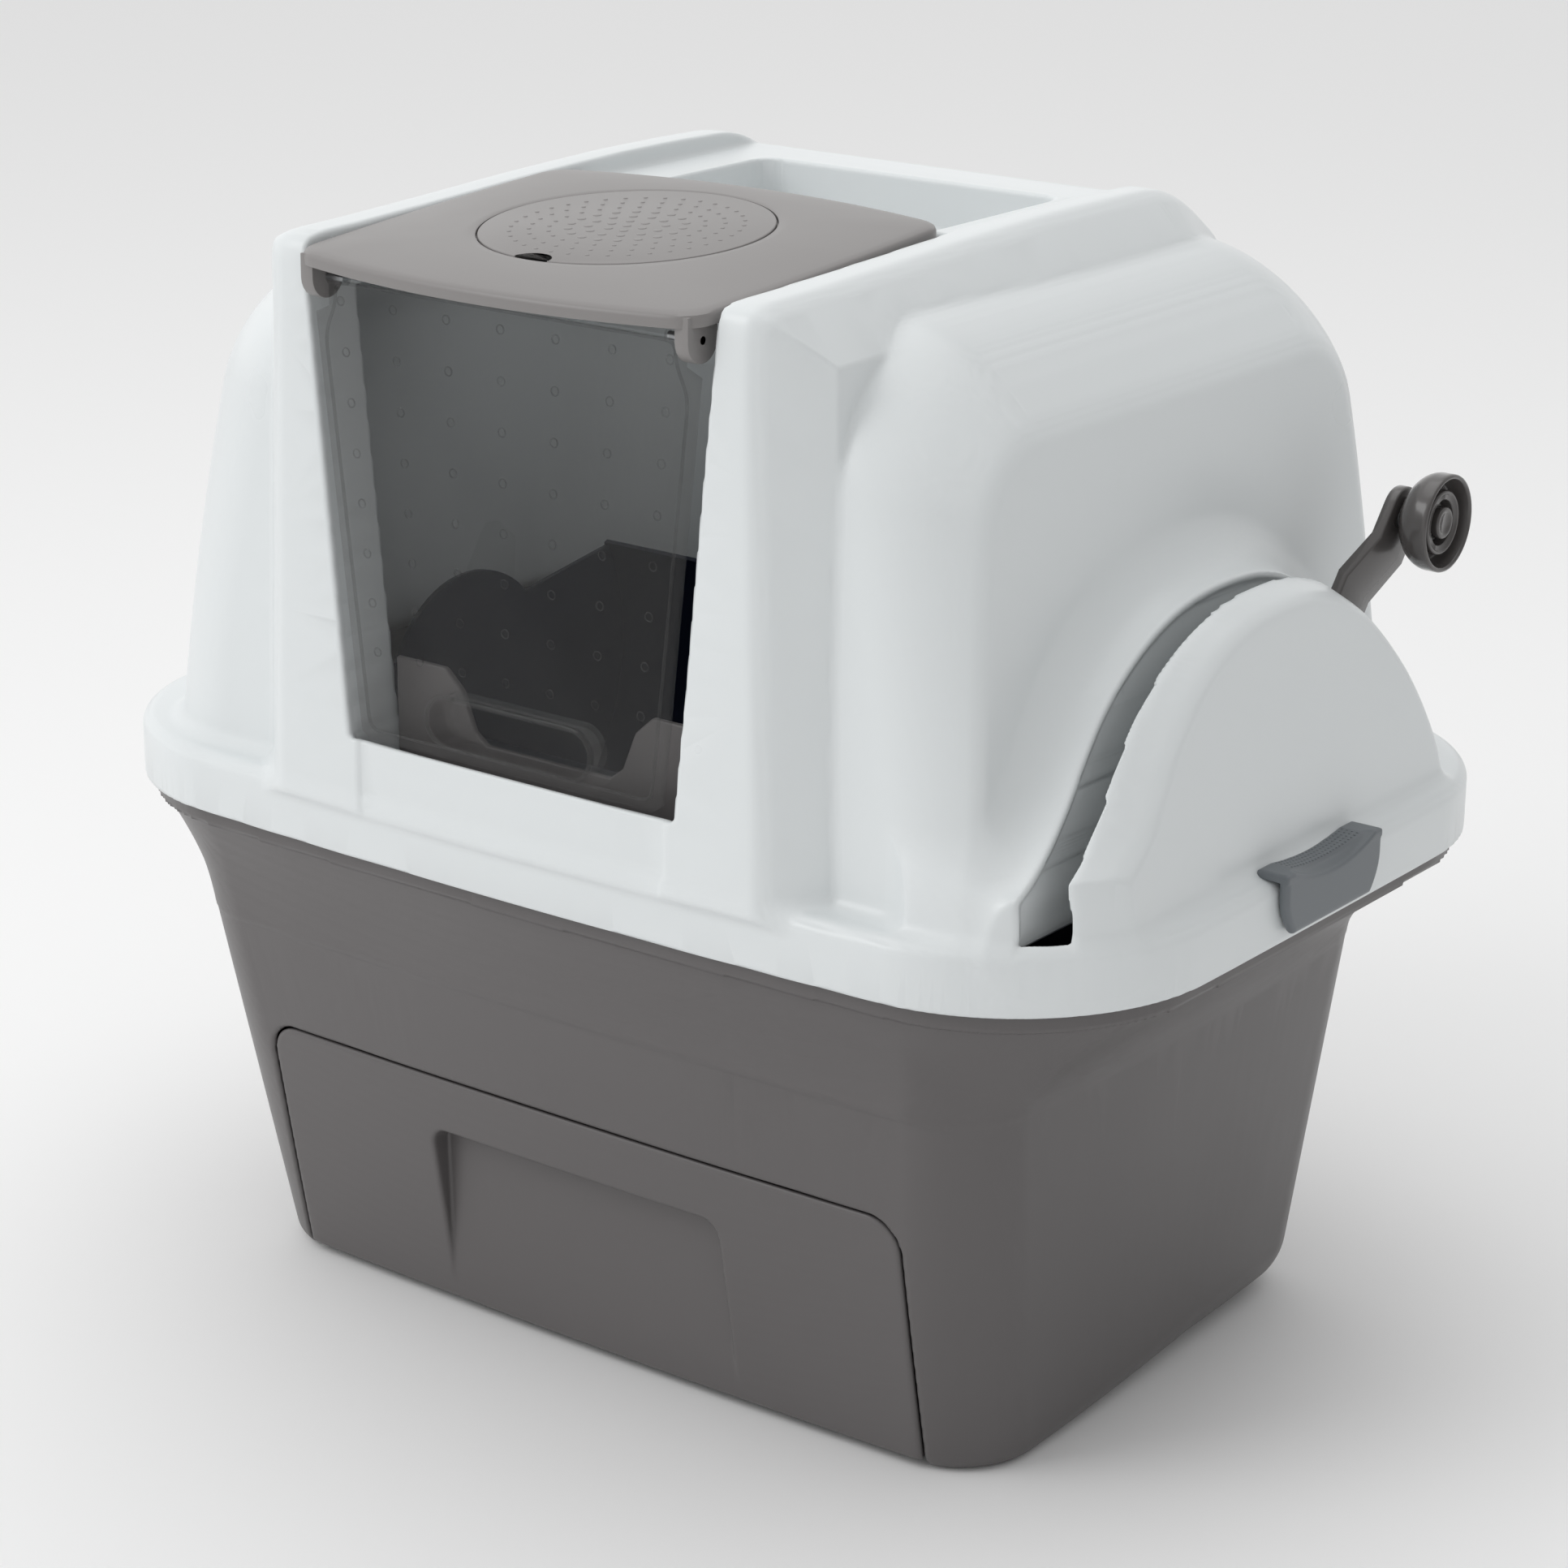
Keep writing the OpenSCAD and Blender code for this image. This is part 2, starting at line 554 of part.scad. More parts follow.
// ---------- side latches ----------
module latch(s)
    color([0.44, 0.45, 0.47]) difference() {
        mirror([s > 0 ? 0 : 1, 0, 0]) translate([0, latch_mid_y + 46, 0]) rotate([90, 0, 0])
            linear_extrude(92) {
                translate(latch_axis) circle(3);
                translate([330.5, latch_axis[1]]) square([6, 312 - latch_axis[1]]);
                translate([318, ledge_z + 0.4]) square([14, 312 - ledge_z - 0.4]);
            }
        // thumb saddle across the outer edge, and a shallower one over the hook
        translate([s > 0 ? 329 : -339, latch_mid_y, 402]) rotate([0, 90, 0]) cylinder(h = 10, r = 98);
        translate([s > 0 ? 310 : -330, latch_mid_y, 509.2]) rotate([0, 90, 0]) cylinder(h = 20, r = 200);
        // pocket for the lug
        translate([s * latch_axis[0], latch_mid_y + 8.5, latch_axis[1]]) rotate([90, 0, 0])
            cylinder(h = 17, d = 5.6);
        translate([s > 0 ? 325 : -latch_axis[0], latch_mid_y - 8.5, latch_axis[1] - 4])
            cube([latch_axis[0] - 325, 17, 6.8]);
        translate([s * latch_axis[0], latch_mid_y + 50, latch_axis[1]]) rotate([90, 0, 0])
            cylinder(h = 100, d = 2.5 + fit);
    }

base_shell();
drawer_deck();
drawer_rail(-1);  // drawer_rail_left
drawer_rail(1);  // drawer_rail_right
bearing(-1);  // bearing_left
bearing(1);  // bearing_right
entry_guard();
hood_shell();
hatch_pins();
latch_pins();
litter_pan();
sifting_grid();
pan_axle_left();
drive_shaft();
lever_arm();
knob_spindle();
knob_cup();
knob_cap();
hatch_lid();
filter_basket();
carbon_filter();
door_pins();
filter_cover();
door_panel();
waste_drawer();
latch(-1);  // latch_left
latch(1);  // latch_right
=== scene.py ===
# Hooded sifting litter box: injection-moulded polypropylene shells around a turning pan.
# The script follows the box from the floor up: tub and drawer, pan and lever, hood, hatch, flap, clips.
import json
import math

import bmesh
import bpy
import numpy as np
import openvdb
from mathutils import Matrix, Vector


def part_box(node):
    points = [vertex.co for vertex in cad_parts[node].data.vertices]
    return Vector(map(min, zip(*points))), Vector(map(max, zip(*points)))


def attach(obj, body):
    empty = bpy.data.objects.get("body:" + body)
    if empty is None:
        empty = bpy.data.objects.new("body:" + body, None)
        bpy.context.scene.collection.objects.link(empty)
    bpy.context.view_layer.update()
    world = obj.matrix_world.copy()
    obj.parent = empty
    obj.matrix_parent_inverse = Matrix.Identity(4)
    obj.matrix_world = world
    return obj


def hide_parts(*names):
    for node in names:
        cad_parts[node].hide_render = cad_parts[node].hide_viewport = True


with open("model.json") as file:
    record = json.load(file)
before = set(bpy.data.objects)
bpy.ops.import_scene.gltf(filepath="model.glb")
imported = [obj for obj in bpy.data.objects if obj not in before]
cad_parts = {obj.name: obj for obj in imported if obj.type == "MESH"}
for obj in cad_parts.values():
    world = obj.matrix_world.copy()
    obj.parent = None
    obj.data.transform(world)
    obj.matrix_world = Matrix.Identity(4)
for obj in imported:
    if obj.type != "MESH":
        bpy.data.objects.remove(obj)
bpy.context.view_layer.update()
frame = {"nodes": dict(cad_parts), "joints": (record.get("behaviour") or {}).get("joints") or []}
MM = 0.001
deg = math.radians


# ---------------------------------------------------------------- tub
# The floor-standing tub is one moulding in warm dark grey polypropylene with 3.5 mm walls. It tapers
# towards the floor and flares at 45 degrees under the hood rim. Its outside is a fine satin spark texture.
def linear(hex_colour):
    """sRGB hex to the linear colour that a shader takes."""
    parts = [int(hex_colour[i:i + 2], 16) / 255 for i in (0, 2, 4)]
    return [c / 12.92 if c <= 0.04045 else ((c + 0.055) / 1.055) ** 2.4 for c in parts] + [1.0]


def add(tree, kind, settings=None, **inputs):
    """Adds a node; inputs are values, or sockets to link from, named by the socket with _ for a space, or i5
    for the sixth socket."""
    node = tree.nodes.new(kind)
    for key, value in (settings or {}).items():
        setattr(node, key, value)
    for key, value in inputs.items():
        by_number = key[0] == "i" and key[1:].isdigit()
        socket = node.inputs[int(key[1:]) if by_number else key.replace("_", " ")]
        if isinstance(value, bpy.types.NodeSocket):
            tree.links.new(value, socket)
        else:
            socket.default_value = value
    return node


def moulded_plastic(name, colour, roughness, grain_mm=0.9, grain_depth_mm=0.012, mottle=0.03, coat=0.0):
    """Injection-moulded plastic: spark-eroded grain, slow tone drift and slightly uneven gloss.
    Real spark grain is about 0.1 mm across; it is drawn coarser, so that it shows from across a room."""
    material = bpy.data.materials.new(name)
    material.use_nodes = True
    tree = material.node_tree
    tree.nodes.clear()
    place = add(tree, "ShaderNodeTexCoord").outputs["Object"]
    drift = add(tree, "ShaderNodeTexNoise", Vector=place, Scale=9.0, Detail=3.0)
    base = linear(colour)
    darker = [c * (1 - mottle) for c in base[:3]] + [1.0]
    lighter = [min(1.0, c * (1 + mottle)) for c in base[:3]] + [1.0]
    tone = add(tree, "ShaderNodeMix", {"data_type": "RGBA"}, Factor=drift.outputs["Fac"], i6=darker,
               i7=lighter)
    gloss = add(tree, "ShaderNodeMapRange", Value=drift.outputs["Fac"], From_Min=0.3, From_Max=0.7,
                To_Min=roughness - 0.03, To_Max=roughness + 0.04)
    grain = add(tree, "ShaderNodeTexNoise", Vector=place, Scale=1000 / grain_mm, Detail=2.0)
    bump = add(tree, "ShaderNodeBump", Strength=0.6, Distance=grain_depth_mm * MM,
               Height=grain.outputs["Fac"])
    shader = add(tree, "ShaderNodeBsdfPrincipled", Base_Color=tone.outputs[2],
                 Roughness=gloss.outputs["Result"], Normal=bump.outputs["Normal"], IOR=1.49,
                 Coat_Weight=coat, Coat_Roughness=0.12)
    add(tree, "ShaderNodeOutputMaterial", Surface=shader.outputs["BSDF"])
    return material


# Spark-textured, so it is satin: soft wide highlights and no mirror image of the room.
base_polypropylene = moulded_plastic("warm_grey_polypropylene", "605d5d", 0.4)


def smooth_and(a, b, r):
    """Part of a shape inside both fields, with the edge between them rounded to the radius r."""
    return np.minimum(-r, np.maximum(a, b)) + np.hypot(np.maximum(a + r, 0), np.maximum(b + r, 0))


def smooth_or(a, b, r):
    """Two shapes joined, with a fillet of the radius r in the corner between them."""
    return np.maximum(r, np.minimum(a, b)) - np.hypot(np.maximum(r - a, 0), np.maximum(r - b, 0))


def rounded_corners(points, reach, steps=6):
    """An outline whose corners are turned into curves that start the reach away from each corner."""
    p = np.array(points, float)
    t = np.linspace(0, 1, steps)[:, None]
    curves = []
    for before, here, after in zip(np.roll(p, 1, axis=0), p, np.roll(p, -1, axis=0)):
        ends = []
        for other in (before, after):
            length = np.linalg.norm(other - here)
            ends.append(here + (other - here) * min(reach / length, 0.5))
        curves.append((1 - t) ** 2 * ends[0] + 2 * t * (1 - t) * here + t ** 2 * ends[1])
    return np.concatenate(curves)


def outline_field(points, u, v):
    """Signed distance from a closed outline on the grid u by v, negative inside."""
    uu, vv = np.meshgrid(u, v, indexing="ij")
    nearest = np.full(uu.shape, 1e9)
    inside = np.zeros(uu.shape, bool)
    for (ax, ay), (bx, by) in zip(points, np.roll(points, -1, axis=0)):
        ex, ey = bx - ax, by - ay
        length2 = ex * ex + ey * ey
        if length2 < 1e-12:
            continue
        t = np.clip(((uu - ax) * ex + (vv - ay) * ey) / length2, 0, 1)
        nearest = np.minimum(nearest, (uu - ax - t * ex) ** 2 + (vv - ay - t * ey) ** 2)
        crosses = (ay > vv) != (by > vv)
        if ey != 0:
            inside ^= crosses & (uu < ax + (vv - ay) * ex / ey)
    return (np.where(inside, -1, 1) * np.sqrt(nearest)).astype(np.float32)


def plan_field(x, y, half_w, front, back, radius, bow_x=0.0, bow_y=0.0):
    """Signed distance from a rounded rectangle with bowed sides, seen from above."""
    middle, half_d = (front + back) / 2, (back - front) / 2
    v = np.clip((y - middle) / half_d, -1, 1)
    u = np.clip(x / half_w, -1, 1)
    qx = np.abs(x) - (half_w + bow_x * (1 - v * v) - radius)
    qy = np.abs(y - middle) - (half_d + bow_y * (1 - u * u) - radius)
    return np.hypot(np.maximum(qx, 0), np.maximum(qy, 0)) + np.minimum(np.maximum(qx, qy), 0) - radius


def grid(low, high, step):
    """Three axes of sample points, shaped so that they combine into a volume."""
    x, y, z = (np.arange(a, b + step, step, dtype=np.float32) for a, b in zip(low, high))
    return x[:, None, None], y[None, :, None], z[None, None, :]


def field_normals(field, points):
    """Directions in which a field grows, at points given in grid steps."""
    normals = np.empty_like(points)
    for axis in range(3):
        half = np.zeros(3, np.float32)
        half[axis] = 1.3
        ends = []
        for sign in (1, -1):
            at = np.clip(points + sign * half, 0, np.array(field.shape) - 1.001)
            low = np.floor(at).astype(np.int32)
            part = at - low
            total = 0
            for corner in range(8):
                bits = np.array([corner >> 2 & 1, corner >> 1 & 1, corner & 1])
                share = np.prod(np.where(bits, part, 1 - part), axis=1)
                index = low + bits
                total = total + share * field[index[:, 0], index[:, 1], index[:, 2]]
            ends.append(total)
        normals[:, axis] = ends[0] - ends[1]
    length = np.linalg.norm(normals, axis=1, keepdims=True)
    return normals / np.maximum(length, 1e-9)


def surface_of(name, field, low, step, budget):
    """The zero surface of a field as a mesh, thinned on its flats to the triangle budget."""
    volume = openvdb.FloatGrid(background=3 * step)
    volume.copyFromArray(np.ascontiguousarray(field, dtype=np.float32))
    points, _, quads = volume.convertToPolygons(isovalue=0.0, adaptivity=0.0)
    points = points * step + np.array(low, np.float32)
    mesh = bpy.data.meshes.new(name)
    mesh.vertices.add(len(points))
    mesh.vertices.foreach_set("co", (points * MM).astype(np.float32).ravel())
    mesh.loops.add(len(quads) * 4)
    mesh.loops.foreach_set("vertex_index", quads.astype(np.int32).ravel())
    mesh.polygons.add(len(quads))
    mesh.polygons.foreach_set("loop_start", np.arange(len(quads), dtype=np.int32) * 4)
    mesh.update(calc_edges=True)
    piece = bpy.data.objects.new(name, mesh)
    bpy.context.collection.objects.link(piece)
    if len(quads) * 2 > budget:
        thin = piece.modifiers.new("thin", "DECIMATE")
        thin.ratio = budget / (len(quads) * 2)
        apply_modifiers(piece)
    mesh = piece.data
    mesh.polygons.foreach_set("use_smooth", np.ones(len(mesh.polygons), bool))
    places = np.zeros(len(mesh.vertices) * 3, np.float32)
    mesh.vertices.foreach_get("co", places)
    at = (places.reshape(-1, 3) / MM - np.array(low, np.float32)) / step
    mesh.normals_split_custom_set_from_vertices(field_normals(field, at.astype(np.float32)))
    return piece


def apply_modifiers(piece):
    """Bakes the modifiers of a piece into its mesh."""
    settled = piece.evaluated_get(bpy.context.evaluated_depsgraph_get())
    mesh = bpy.data.meshes.new_from_object(settled)
    piece.modifiers.clear()
    old = piece.data
    piece.data = mesh
    bpy.data.meshes.remove(old)


def finish_piece(piece, material, body, slot, *nodes):
    """Gives a piece its material and body, and hides the CAD nodes that it stands for; the slot is not used.
    """
    piece.data.materials.clear()
    piece.data.materials.append(material)
    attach(piece, body)
    if nodes:
        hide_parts(*nodes)


def edge_of(node, side, axis):
    """A face of a CAD piece's box in mm, to a tenth: side 0 is the low face and side 1 the high one."""
    return round(float(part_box(node)[side][axis]) / MM, 1)


# Every size is in mm. The rim is the outline that the hood's band and the tub's lip share.
wall = 3.5
coarse = 1.0
lip_inset = 6.5
rim_bow_x, rim_bow_y, rim_radius = 3, 12, 105
rim_half_w = edge_of("base_shell", 1, 0) + lip_inset - rim_bow_x
rim_half_d = edge_of("base_shell", 1, 1) + lip_inset - rim_bow_y
ledge_z = edge_of("base_shell", 1, 2) + wall
foot_half_w, foot_front, foot_back, foot_radius = 242, -165, 151, 42
side_taper, front_taper, back_taper = 0.0913, 0.18, 0.12
drawer_half_w, drawer_top = edge_of("waste_drawer", 1, 0), edge_of("waste_drawer", 1, 2)


def rim_field(x, y):
    """Signed distance from the rim's outline."""
    return plan_field(x, y, rim_half_w, -rim_half_d, rim_half_d, rim_radius, rim_bow_x, rim_bow_y)


def tub_field(x, y, z):
    """Signed distance from the tub's tapering walls."""
    return plan_field(x, y, foot_half_w + side_taper * z, foot_front - front_taper * z,
                      foot_back + back_taper * z, foot_radius, 6, 5)


def drawer_outline(grow):
    """The drawer's front in X and Z, with round upper corners, made larger by a gap."""
    w, top, r, foot = drawer_half_w + grow, drawer_top + grow, 18 + grow, 5 - 20 * grow
    corner = [(w - r + r * math.cos(t), top - r + r * math.sin(t)) for t in np.linspace(0, math.pi / 2, 9)]
    return [(-px, pz) for px, pz in reversed(corner)] + [(-w, foot), (w, foot)] + corner


tub_step = 1.8 * coarse
tub_low = (-334, -240, -6)
x, y, z = grid(tub_low, (334, 240, 310), tub_step)
foot_round = 9 + 20 * np.clip((y + 120) / 150, 0, 1)
tub = smooth_and(tub_field(x, y, z), -z, foot_round)

# The collar grows from the tub's plan into the lip's. Its field is eased to 0.8, since it isn't upright.
collar_foot_z, collar_rise, lip_foot_z = 206, 58, 264
flare = np.clip((z - collar_foot_z) / collar_rise, 0, 1) ** 1.6
collar_front, collar_back = -203 - 9.5 * flare, 176 + 33 * flare
collar = plan_field(x, y, 261 + 53.5 * flare, collar_front, collar_back, 44 + 47 * flare, 6 - 3 * flare,
                    5 + 6 * flare) * 0.8
collar = np.maximum(collar, collar_foot_z - z)
lip = np.maximum(rim_field(x, y) + lip_inset, lip_foot_z - z)
outside = smooth_or(np.minimum(tub, lip), collar, 1.5)

tub_floor, drawer_gap = 4, 1.0
shell = np.maximum(outside, -np.maximum(outside + wall, tub_floor - z))
drawer_mouth = outline_field(np.array(drawer_outline(drawer_gap)), x.ravel(), z.ravel())[:, None, :]
shell = smooth_and(shell, -np.maximum(drawer_mouth, y + 150), 1.2)
shell = np.maximum(shell, z - (ledge_z - wall))
tub_shell = surface_of("tub_shell", shell, tub_low, tub_step, 190000)
finish_piece(tub_shell, base_polypropylene, "base", "base_plastic", "base_shell")


# ---------------------------------------------------------------- waste drawer
# The drawer pulls out under the tub. Its front continues the sloping wall of the tub and has a wedge-shaped
# finger pull that is deepest under its top edge; the tray behind it is a plain thin-walled box.
front_step = 1.3 * coarse
front_low = (-212, -204, 2)
x, y, z = grid(front_low, (212, -154, 149), front_step)
front = tub_field(x, y, z)
front_thick = 4
panel = np.maximum(front, -(front + front_thick))
pull_half_w, pull_side_top, pull_round = 96, 102, 10
corner_x = pull_half_w - pull_round
quarter = [(math.cos(t), math.sin(t)) for t in np.linspace(0, math.pi / 2, 7)]
pull = [(-pull_half_w, -20), (pull_half_w, -20), (pull_half_w, pull_side_top)]
pull += [(corner_x + pull_round * c, pull_side_top + pull_round * s) for c, s in quarter]
pull += [(-corner_x - pull_round * s, pull_side_top + pull_round * c) for c, s in quarter]
pull += [(-pull_half_w, pull_side_top)]
pull_plan = outline_field(np.array(pull), x.ravel(), z.ravel())[:, None, :]
pull_depth_y, pull_lean = 172.5, 0.033
pull_floor = y + pull_depth_y + pull_lean * (z - 5)
pocket_wall = np.maximum(np.maximum(pull_plan - 3, pull_floor - wall), front)
panel = np.minimum(panel, pocket_wall)
panel = smooth_and(panel, -np.maximum(pull_plan, pull_floor), 1.5)
window = outline_field(np.array(drawer_outline(0)), x.ravel(), z.ravel())[:, None, :]
panel = smooth_and(panel, window, 1.6)
drawer_front = surface_of("drawer_front", panel, front_low, front_step, 150000)
finish_piece(drawer_front, base_polypropylene, "drawer", "base_plastic", "waste_drawer")


def thin_box(name, low, high, sheet):
    """An open-topped box with walls of the given thickness and softened edges."""
    form = bmesh.new()
    bmesh.ops.create_cube(form, size=1)
    for vertex in form.verts:
        vertex.co = [(low[i] if vertex.co[i] < 0 else high[i]) * MM for i in range(3)]
    bmesh.ops.delete(form, geom=[f for f in form.faces if f.normal.z > 0.9], context="FACES_ONLY")
    mesh = bpy.data.meshes.new(name)
    form.to_mesh(mesh)
    form.free()
    piece = bpy.data.objects.new(name, mesh)
    bpy.context.collection.objects.link(piece)
    skin = piece.modifiers.new("skin", "SOLIDIFY")
    skin.thickness, skin.offset = sheet * MM, -1
    edge = piece.modifiers.new("edge", "BEVEL")
    edge.width, edge.segments = 0.8 * MM, 2
    apply_modifiers(piece)
    return piece


tray_low, tray_high, tray_wall = (-206, -163, 4.4), (206, 138, 132), 2.5
drawer_tray = thin_box("drawer_tray", tray_low, tray_high, tray_wall)
finish_piece(drawer_tray, base_polypropylene, "drawer", "base_plastic")


# ---------------------------------------------------------------- parts inside the tub
# Deck, drawer rails, bearing posts and entry guard are separate mouldings in the tub's plastic, fixed inside
# it. They are plain plates and blocks; the guard, which shows through the flap, has its edges broken.
def eased(node, radius, name):
    """A copy of a plain CAD piece with its edges rounded."""
    source = frame["nodes"][node]
    form = bmesh.new()
    form.from_mesh(source.data)
    bmesh.ops.remove_doubles(form, verts=form.verts, dist=1e-5)
    bmesh.ops.dissolve_limit(form, angle_limit=deg(0.6), verts=form.verts, edges=form.edges)
    mesh = bpy.data.meshes.new(name)
    form.to_mesh(mesh)
    form.free()
    piece = bpy.data.objects.new(name, mesh)
    bpy.context.collection.objects.link(piece)
    edge = piece.modifiers.new("edge", "BEVEL")
    edge.width, edge.segments, edge.limit_method, edge.angle_limit = radius * MM, 2, "ANGLE", deg(40)
    edge.use_clamp_overlap = True
    apply_modifiers(piece)
    piece.data.polygons.foreach_set("use_smooth", np.ones(len(piece.data.polygons), bool))
    piece.data.set_sharp_from_angle(angle=deg(35))
    return piece


def dress(node, material):
    """Gives a CAD piece that keeps its shape a better material."""
    mesh = frame["nodes"][node].data
    for index in range(max(1, len(mesh.materials))):
        if index < len(mesh.materials):
            mesh.materials[index] = material
        else:
            mesh.materials.append(material)


# Unpolished on the inside, so it is flatter than the outer mouldings.
grey_polypropylene = moulded_plastic("mid_grey_inner_polypropylene", "85827d", 0.45)
for node in ("drawer_deck", "drawer_rail_left", "drawer_rail_right", "bearing_left", "bearing_right"):
    dress(node, base_polypropylene)
guard = eased("entry_guard", 1.2, "entry_guard_board")
finish_piece(guard, base_polypropylene, "base", "inner_plastic", "entry_guard")


# ---------------------------------------------------------------- sifting pan and its shaft
# The pan is a navy half-open drum that turns with the lever; a perforated grey grid inside its front keeps
# the clumps back. Shaft and axle are dark grey nylon, which runs dry in the bearing posts. The pan is
# polished so that litter slides off it, the nylon is glossier still, and the wire is bright drawn steel.
navy_polypropylene = moulded_plastic("navy_polypropylene", "171d2e", 0.34, grain_depth_mm=0.003)
dark_nylon = moulded_plastic("glossy_dark_nylon", "4c4948", 0.24, grain_mm=2.2, grain_depth_mm=0.006,
                             coat=0.4)
steel_wire = moulded_plastic("drawn_steel_wire", "b9bbbd", 0.3, grain_mm=0.5)
steel_shader = steel_wire.node_tree.nodes["Principled BSDF"]
steel_shader.inputs["Metallic"].default_value, steel_shader.inputs["IOR"].default_value = 1.0, 1.5
dress("litter_pan", navy_polypropylene)
dress("sifting_grid", grey_polypropylene)
for node in ("pan_axle_left", "drive_shaft"):
    dress(node, dark_nylon)
for node in ("knob_spindle", "hatch_pins", "latch_pins", "door_pins"):
    dress(node, steel_wire)


# ---------------------------------------------------------------- lever and knob
# The lever is a flat nylon arm, cranked outward at its top so that the knob clears the arch. The knob is a
# hollow cup with a raised ring and a cap inside, free to turn on its spindle.
lever = eased("lever_arm", 1.1, "lever_blade")
finish_piece(lever, dark_nylon, "sifter", "lever_plastic", "lever_arm")


def hinge_at(joint):
    """Where a joint of the frame sits, in mm."""
    place = next(j["pos_m"] for j in frame["joints"] if j["name"] == joint)
    return Vector([round(c / MM, 3) for c in place])


lever_tilt, lever_reach = deg(-39), 204
along_lever = Matrix.Translation(hinge_at("sifter_turn") * MM) @ Matrix.Rotation(lever_tilt, 4, "X")


def turned(name, profile, place, sides=72):
    """A piece turned about its own X axis from a profile of (distance along the axis, radius), in mm."""
    form = bmesh.new()
    rings = []
    for along, radius in profile:
        if radius < 1e-6:
            rings.append([form.verts.new((along * MM, 0, 0))])
            continue
        angles = np.linspace(0, 2 * math.pi, sides, endpoint=False)
        rings.append([form.verts.new((along * MM, radius * math.cos(t) * MM, radius * math.sin(t) * MM))
                      for t in angles])
    for a, b in zip(rings, rings[1:]):
        for i in range(sides):
            j = (i + 1) % sides
            corners = [a[i % len(a)], a[j % len(a)], b[j % len(b)], b[i % len(b)]]
            corners = list(dict.fromkeys(corners))
            if len(corners) > 2:
                form.faces.new(corners)
    bmesh.ops.recalc_face_normals(form, faces=form.faces)
    form.transform(place)
    mesh = bpy.data.meshes.new(name)
    form.to_mesh(mesh)
    form.free()
    mesh.polygons.foreach_set("use_smooth", np.ones(len(mesh.polygons), bool))
    piece = bpy.data.objects.new(name, mesh)
    bpy.context.collection.objects.link(piece)
    return piece


def arc(cx, cy, r, start, end, steps=5):
    """Points on an arc, angles in degrees, as (along, radius) pairs."""
    return [(cx + r * math.cos(deg(t)), cy + r * math.sin(deg(t))) for t in np.linspace(start, end, steps)]


knob_r, knob_bowl = 25, 16.5  # the bowl is a quarter of an ellipse
knob_place = along_lever @ Matrix.Translation(Vector((edge_of("knob_cup", 0, 0), 0, lever_reach)) * MM)
knob_profile = [(0, 0), (0, 9)]
knob_profile += [(knob_bowl - knob_bowl * math.sin(deg(t)), knob_r * math.cos(deg(t)))
                 for t in range(66, -1, -6)]
knob_profile += [(20.5, knob_r)] + arc(22.2, 23.7, 1.3, 90, -90)
knob_profile += [(18, 21.8), (13.2, 20.8), (12.6, 19.8), (12.6, 17.6)]
knob_profile += [(13.2, 16.8), (19, 16.6)] + arc(19.4, 15.4, 1.2, 90, -90)
knob_profile += [(19.8, 12), (19, 11.6), (14, 11.3)]
knob_profile += [(13, 10.8), (13, 0)]
knob_cup = turned("knob_cup_turned", knob_profile, knob_place)
finish_piece(knob_cup, dark_nylon, "knob", "lever_plastic", "knob_cup")
cap_profile = [(13.2, 0), (13.2, 8.2), (20.2, 8.2)] + arc(20.4, 7, 1.2, 90, 0)
cap_profile += [(21.6, 5.6), (21.0, 5.0), (21.0, 0)]
knob_cap = turned("knob_cap_turned", cap_profile, knob_place)
finish_piece(knob_cap, dark_nylon, "knob", "lever_plastic", "knob_cap")


# ---------------------------------------------------------------- hood
# The hood is one cool-white polypropylene moulding: a rounded body on a rim ledge, a raised frame round the
# doorway, a flat panel on the lever side and an arched cover outside the lever's slot, all softly filleted.
# A shallower grain than the tub's makes it a little glossier, and its white pigment hides nearly all drift
# in tone.
hood_polypropylene = moulded_plastic("cool_white_polypropylene", "dfe3e4", 0.3, grain_mm=1.1,
                                     grain_depth_mm=0.008, mottle=0.012)
sill_z = 339
hood_step = 1.7 * coarse
hood_low = (-336, -242, 268)
x, y, z = grid(hood_low, (336, 240, 606), hood_step)
rim = rim_field(x, y)
ledge = smooth_and(rim, z - ledge_z, 7)

# The body leans in as it rises and its crown falls off to both sides. The flat panel cuts the lever side;
# 0.996 is the cosine of its lean.
rise = z - 300
body_half_w, body_front = 293 - 0.14 * rise - 0.00024 * rise ** 2, -209 + 0.00012 * rise ** 2
body_back, body_round = 190 - 0.032 * rise, 72
body = plan_field(x, y, body_half_w, body_front, body_back, body_round)
crown_z, crown_half_w, crown_fall = 580, 140, 0.13
crown = z - (crown_z - crown_fall * np.maximum(np.abs(x) - crown_half_w, 0))
body = smooth_and(body, crown, body_round)
side_panel = (x - (259 - 0.085 * (z - ledge_z))) * 0.996
body = smooth_and(body, side_panel, 4)

# The raised frame is a side outline in Y and Z, chamfered towards edges that close in as they rise.
frame_side = rounded_corners([(-235, 280), (-233, 440), (-231.5, 588), (-222, 592), (-190, 592.5),
                              (-124, 595), (-58, 598), (13, 600), (65, 600), (112, 599), (132, 592),
                              (168, 567), (188, 520), (194, 440), (197, 280)], 14)
frame_side = outline_field(frame_side, y.ravel(), z.ravel())[None, :, :]
frame_edge = 158 - 8 * np.clip((z - 305) / 243, 0, 1)
band = (np.abs(x) - frame_edge) * 0.72 + frame_side * 0.69
raised_frame = np.maximum(smooth_and(frame_side, band, 5), np.abs(x) - frame_edge - 27)
sill_top = 346
sill_panel = np.minimum(np.minimum(rim, 99 - np.abs(x)), sill_top - z)
raised_frame = np.maximum(np.maximum(raised_frame, sill_panel), 302 - z)

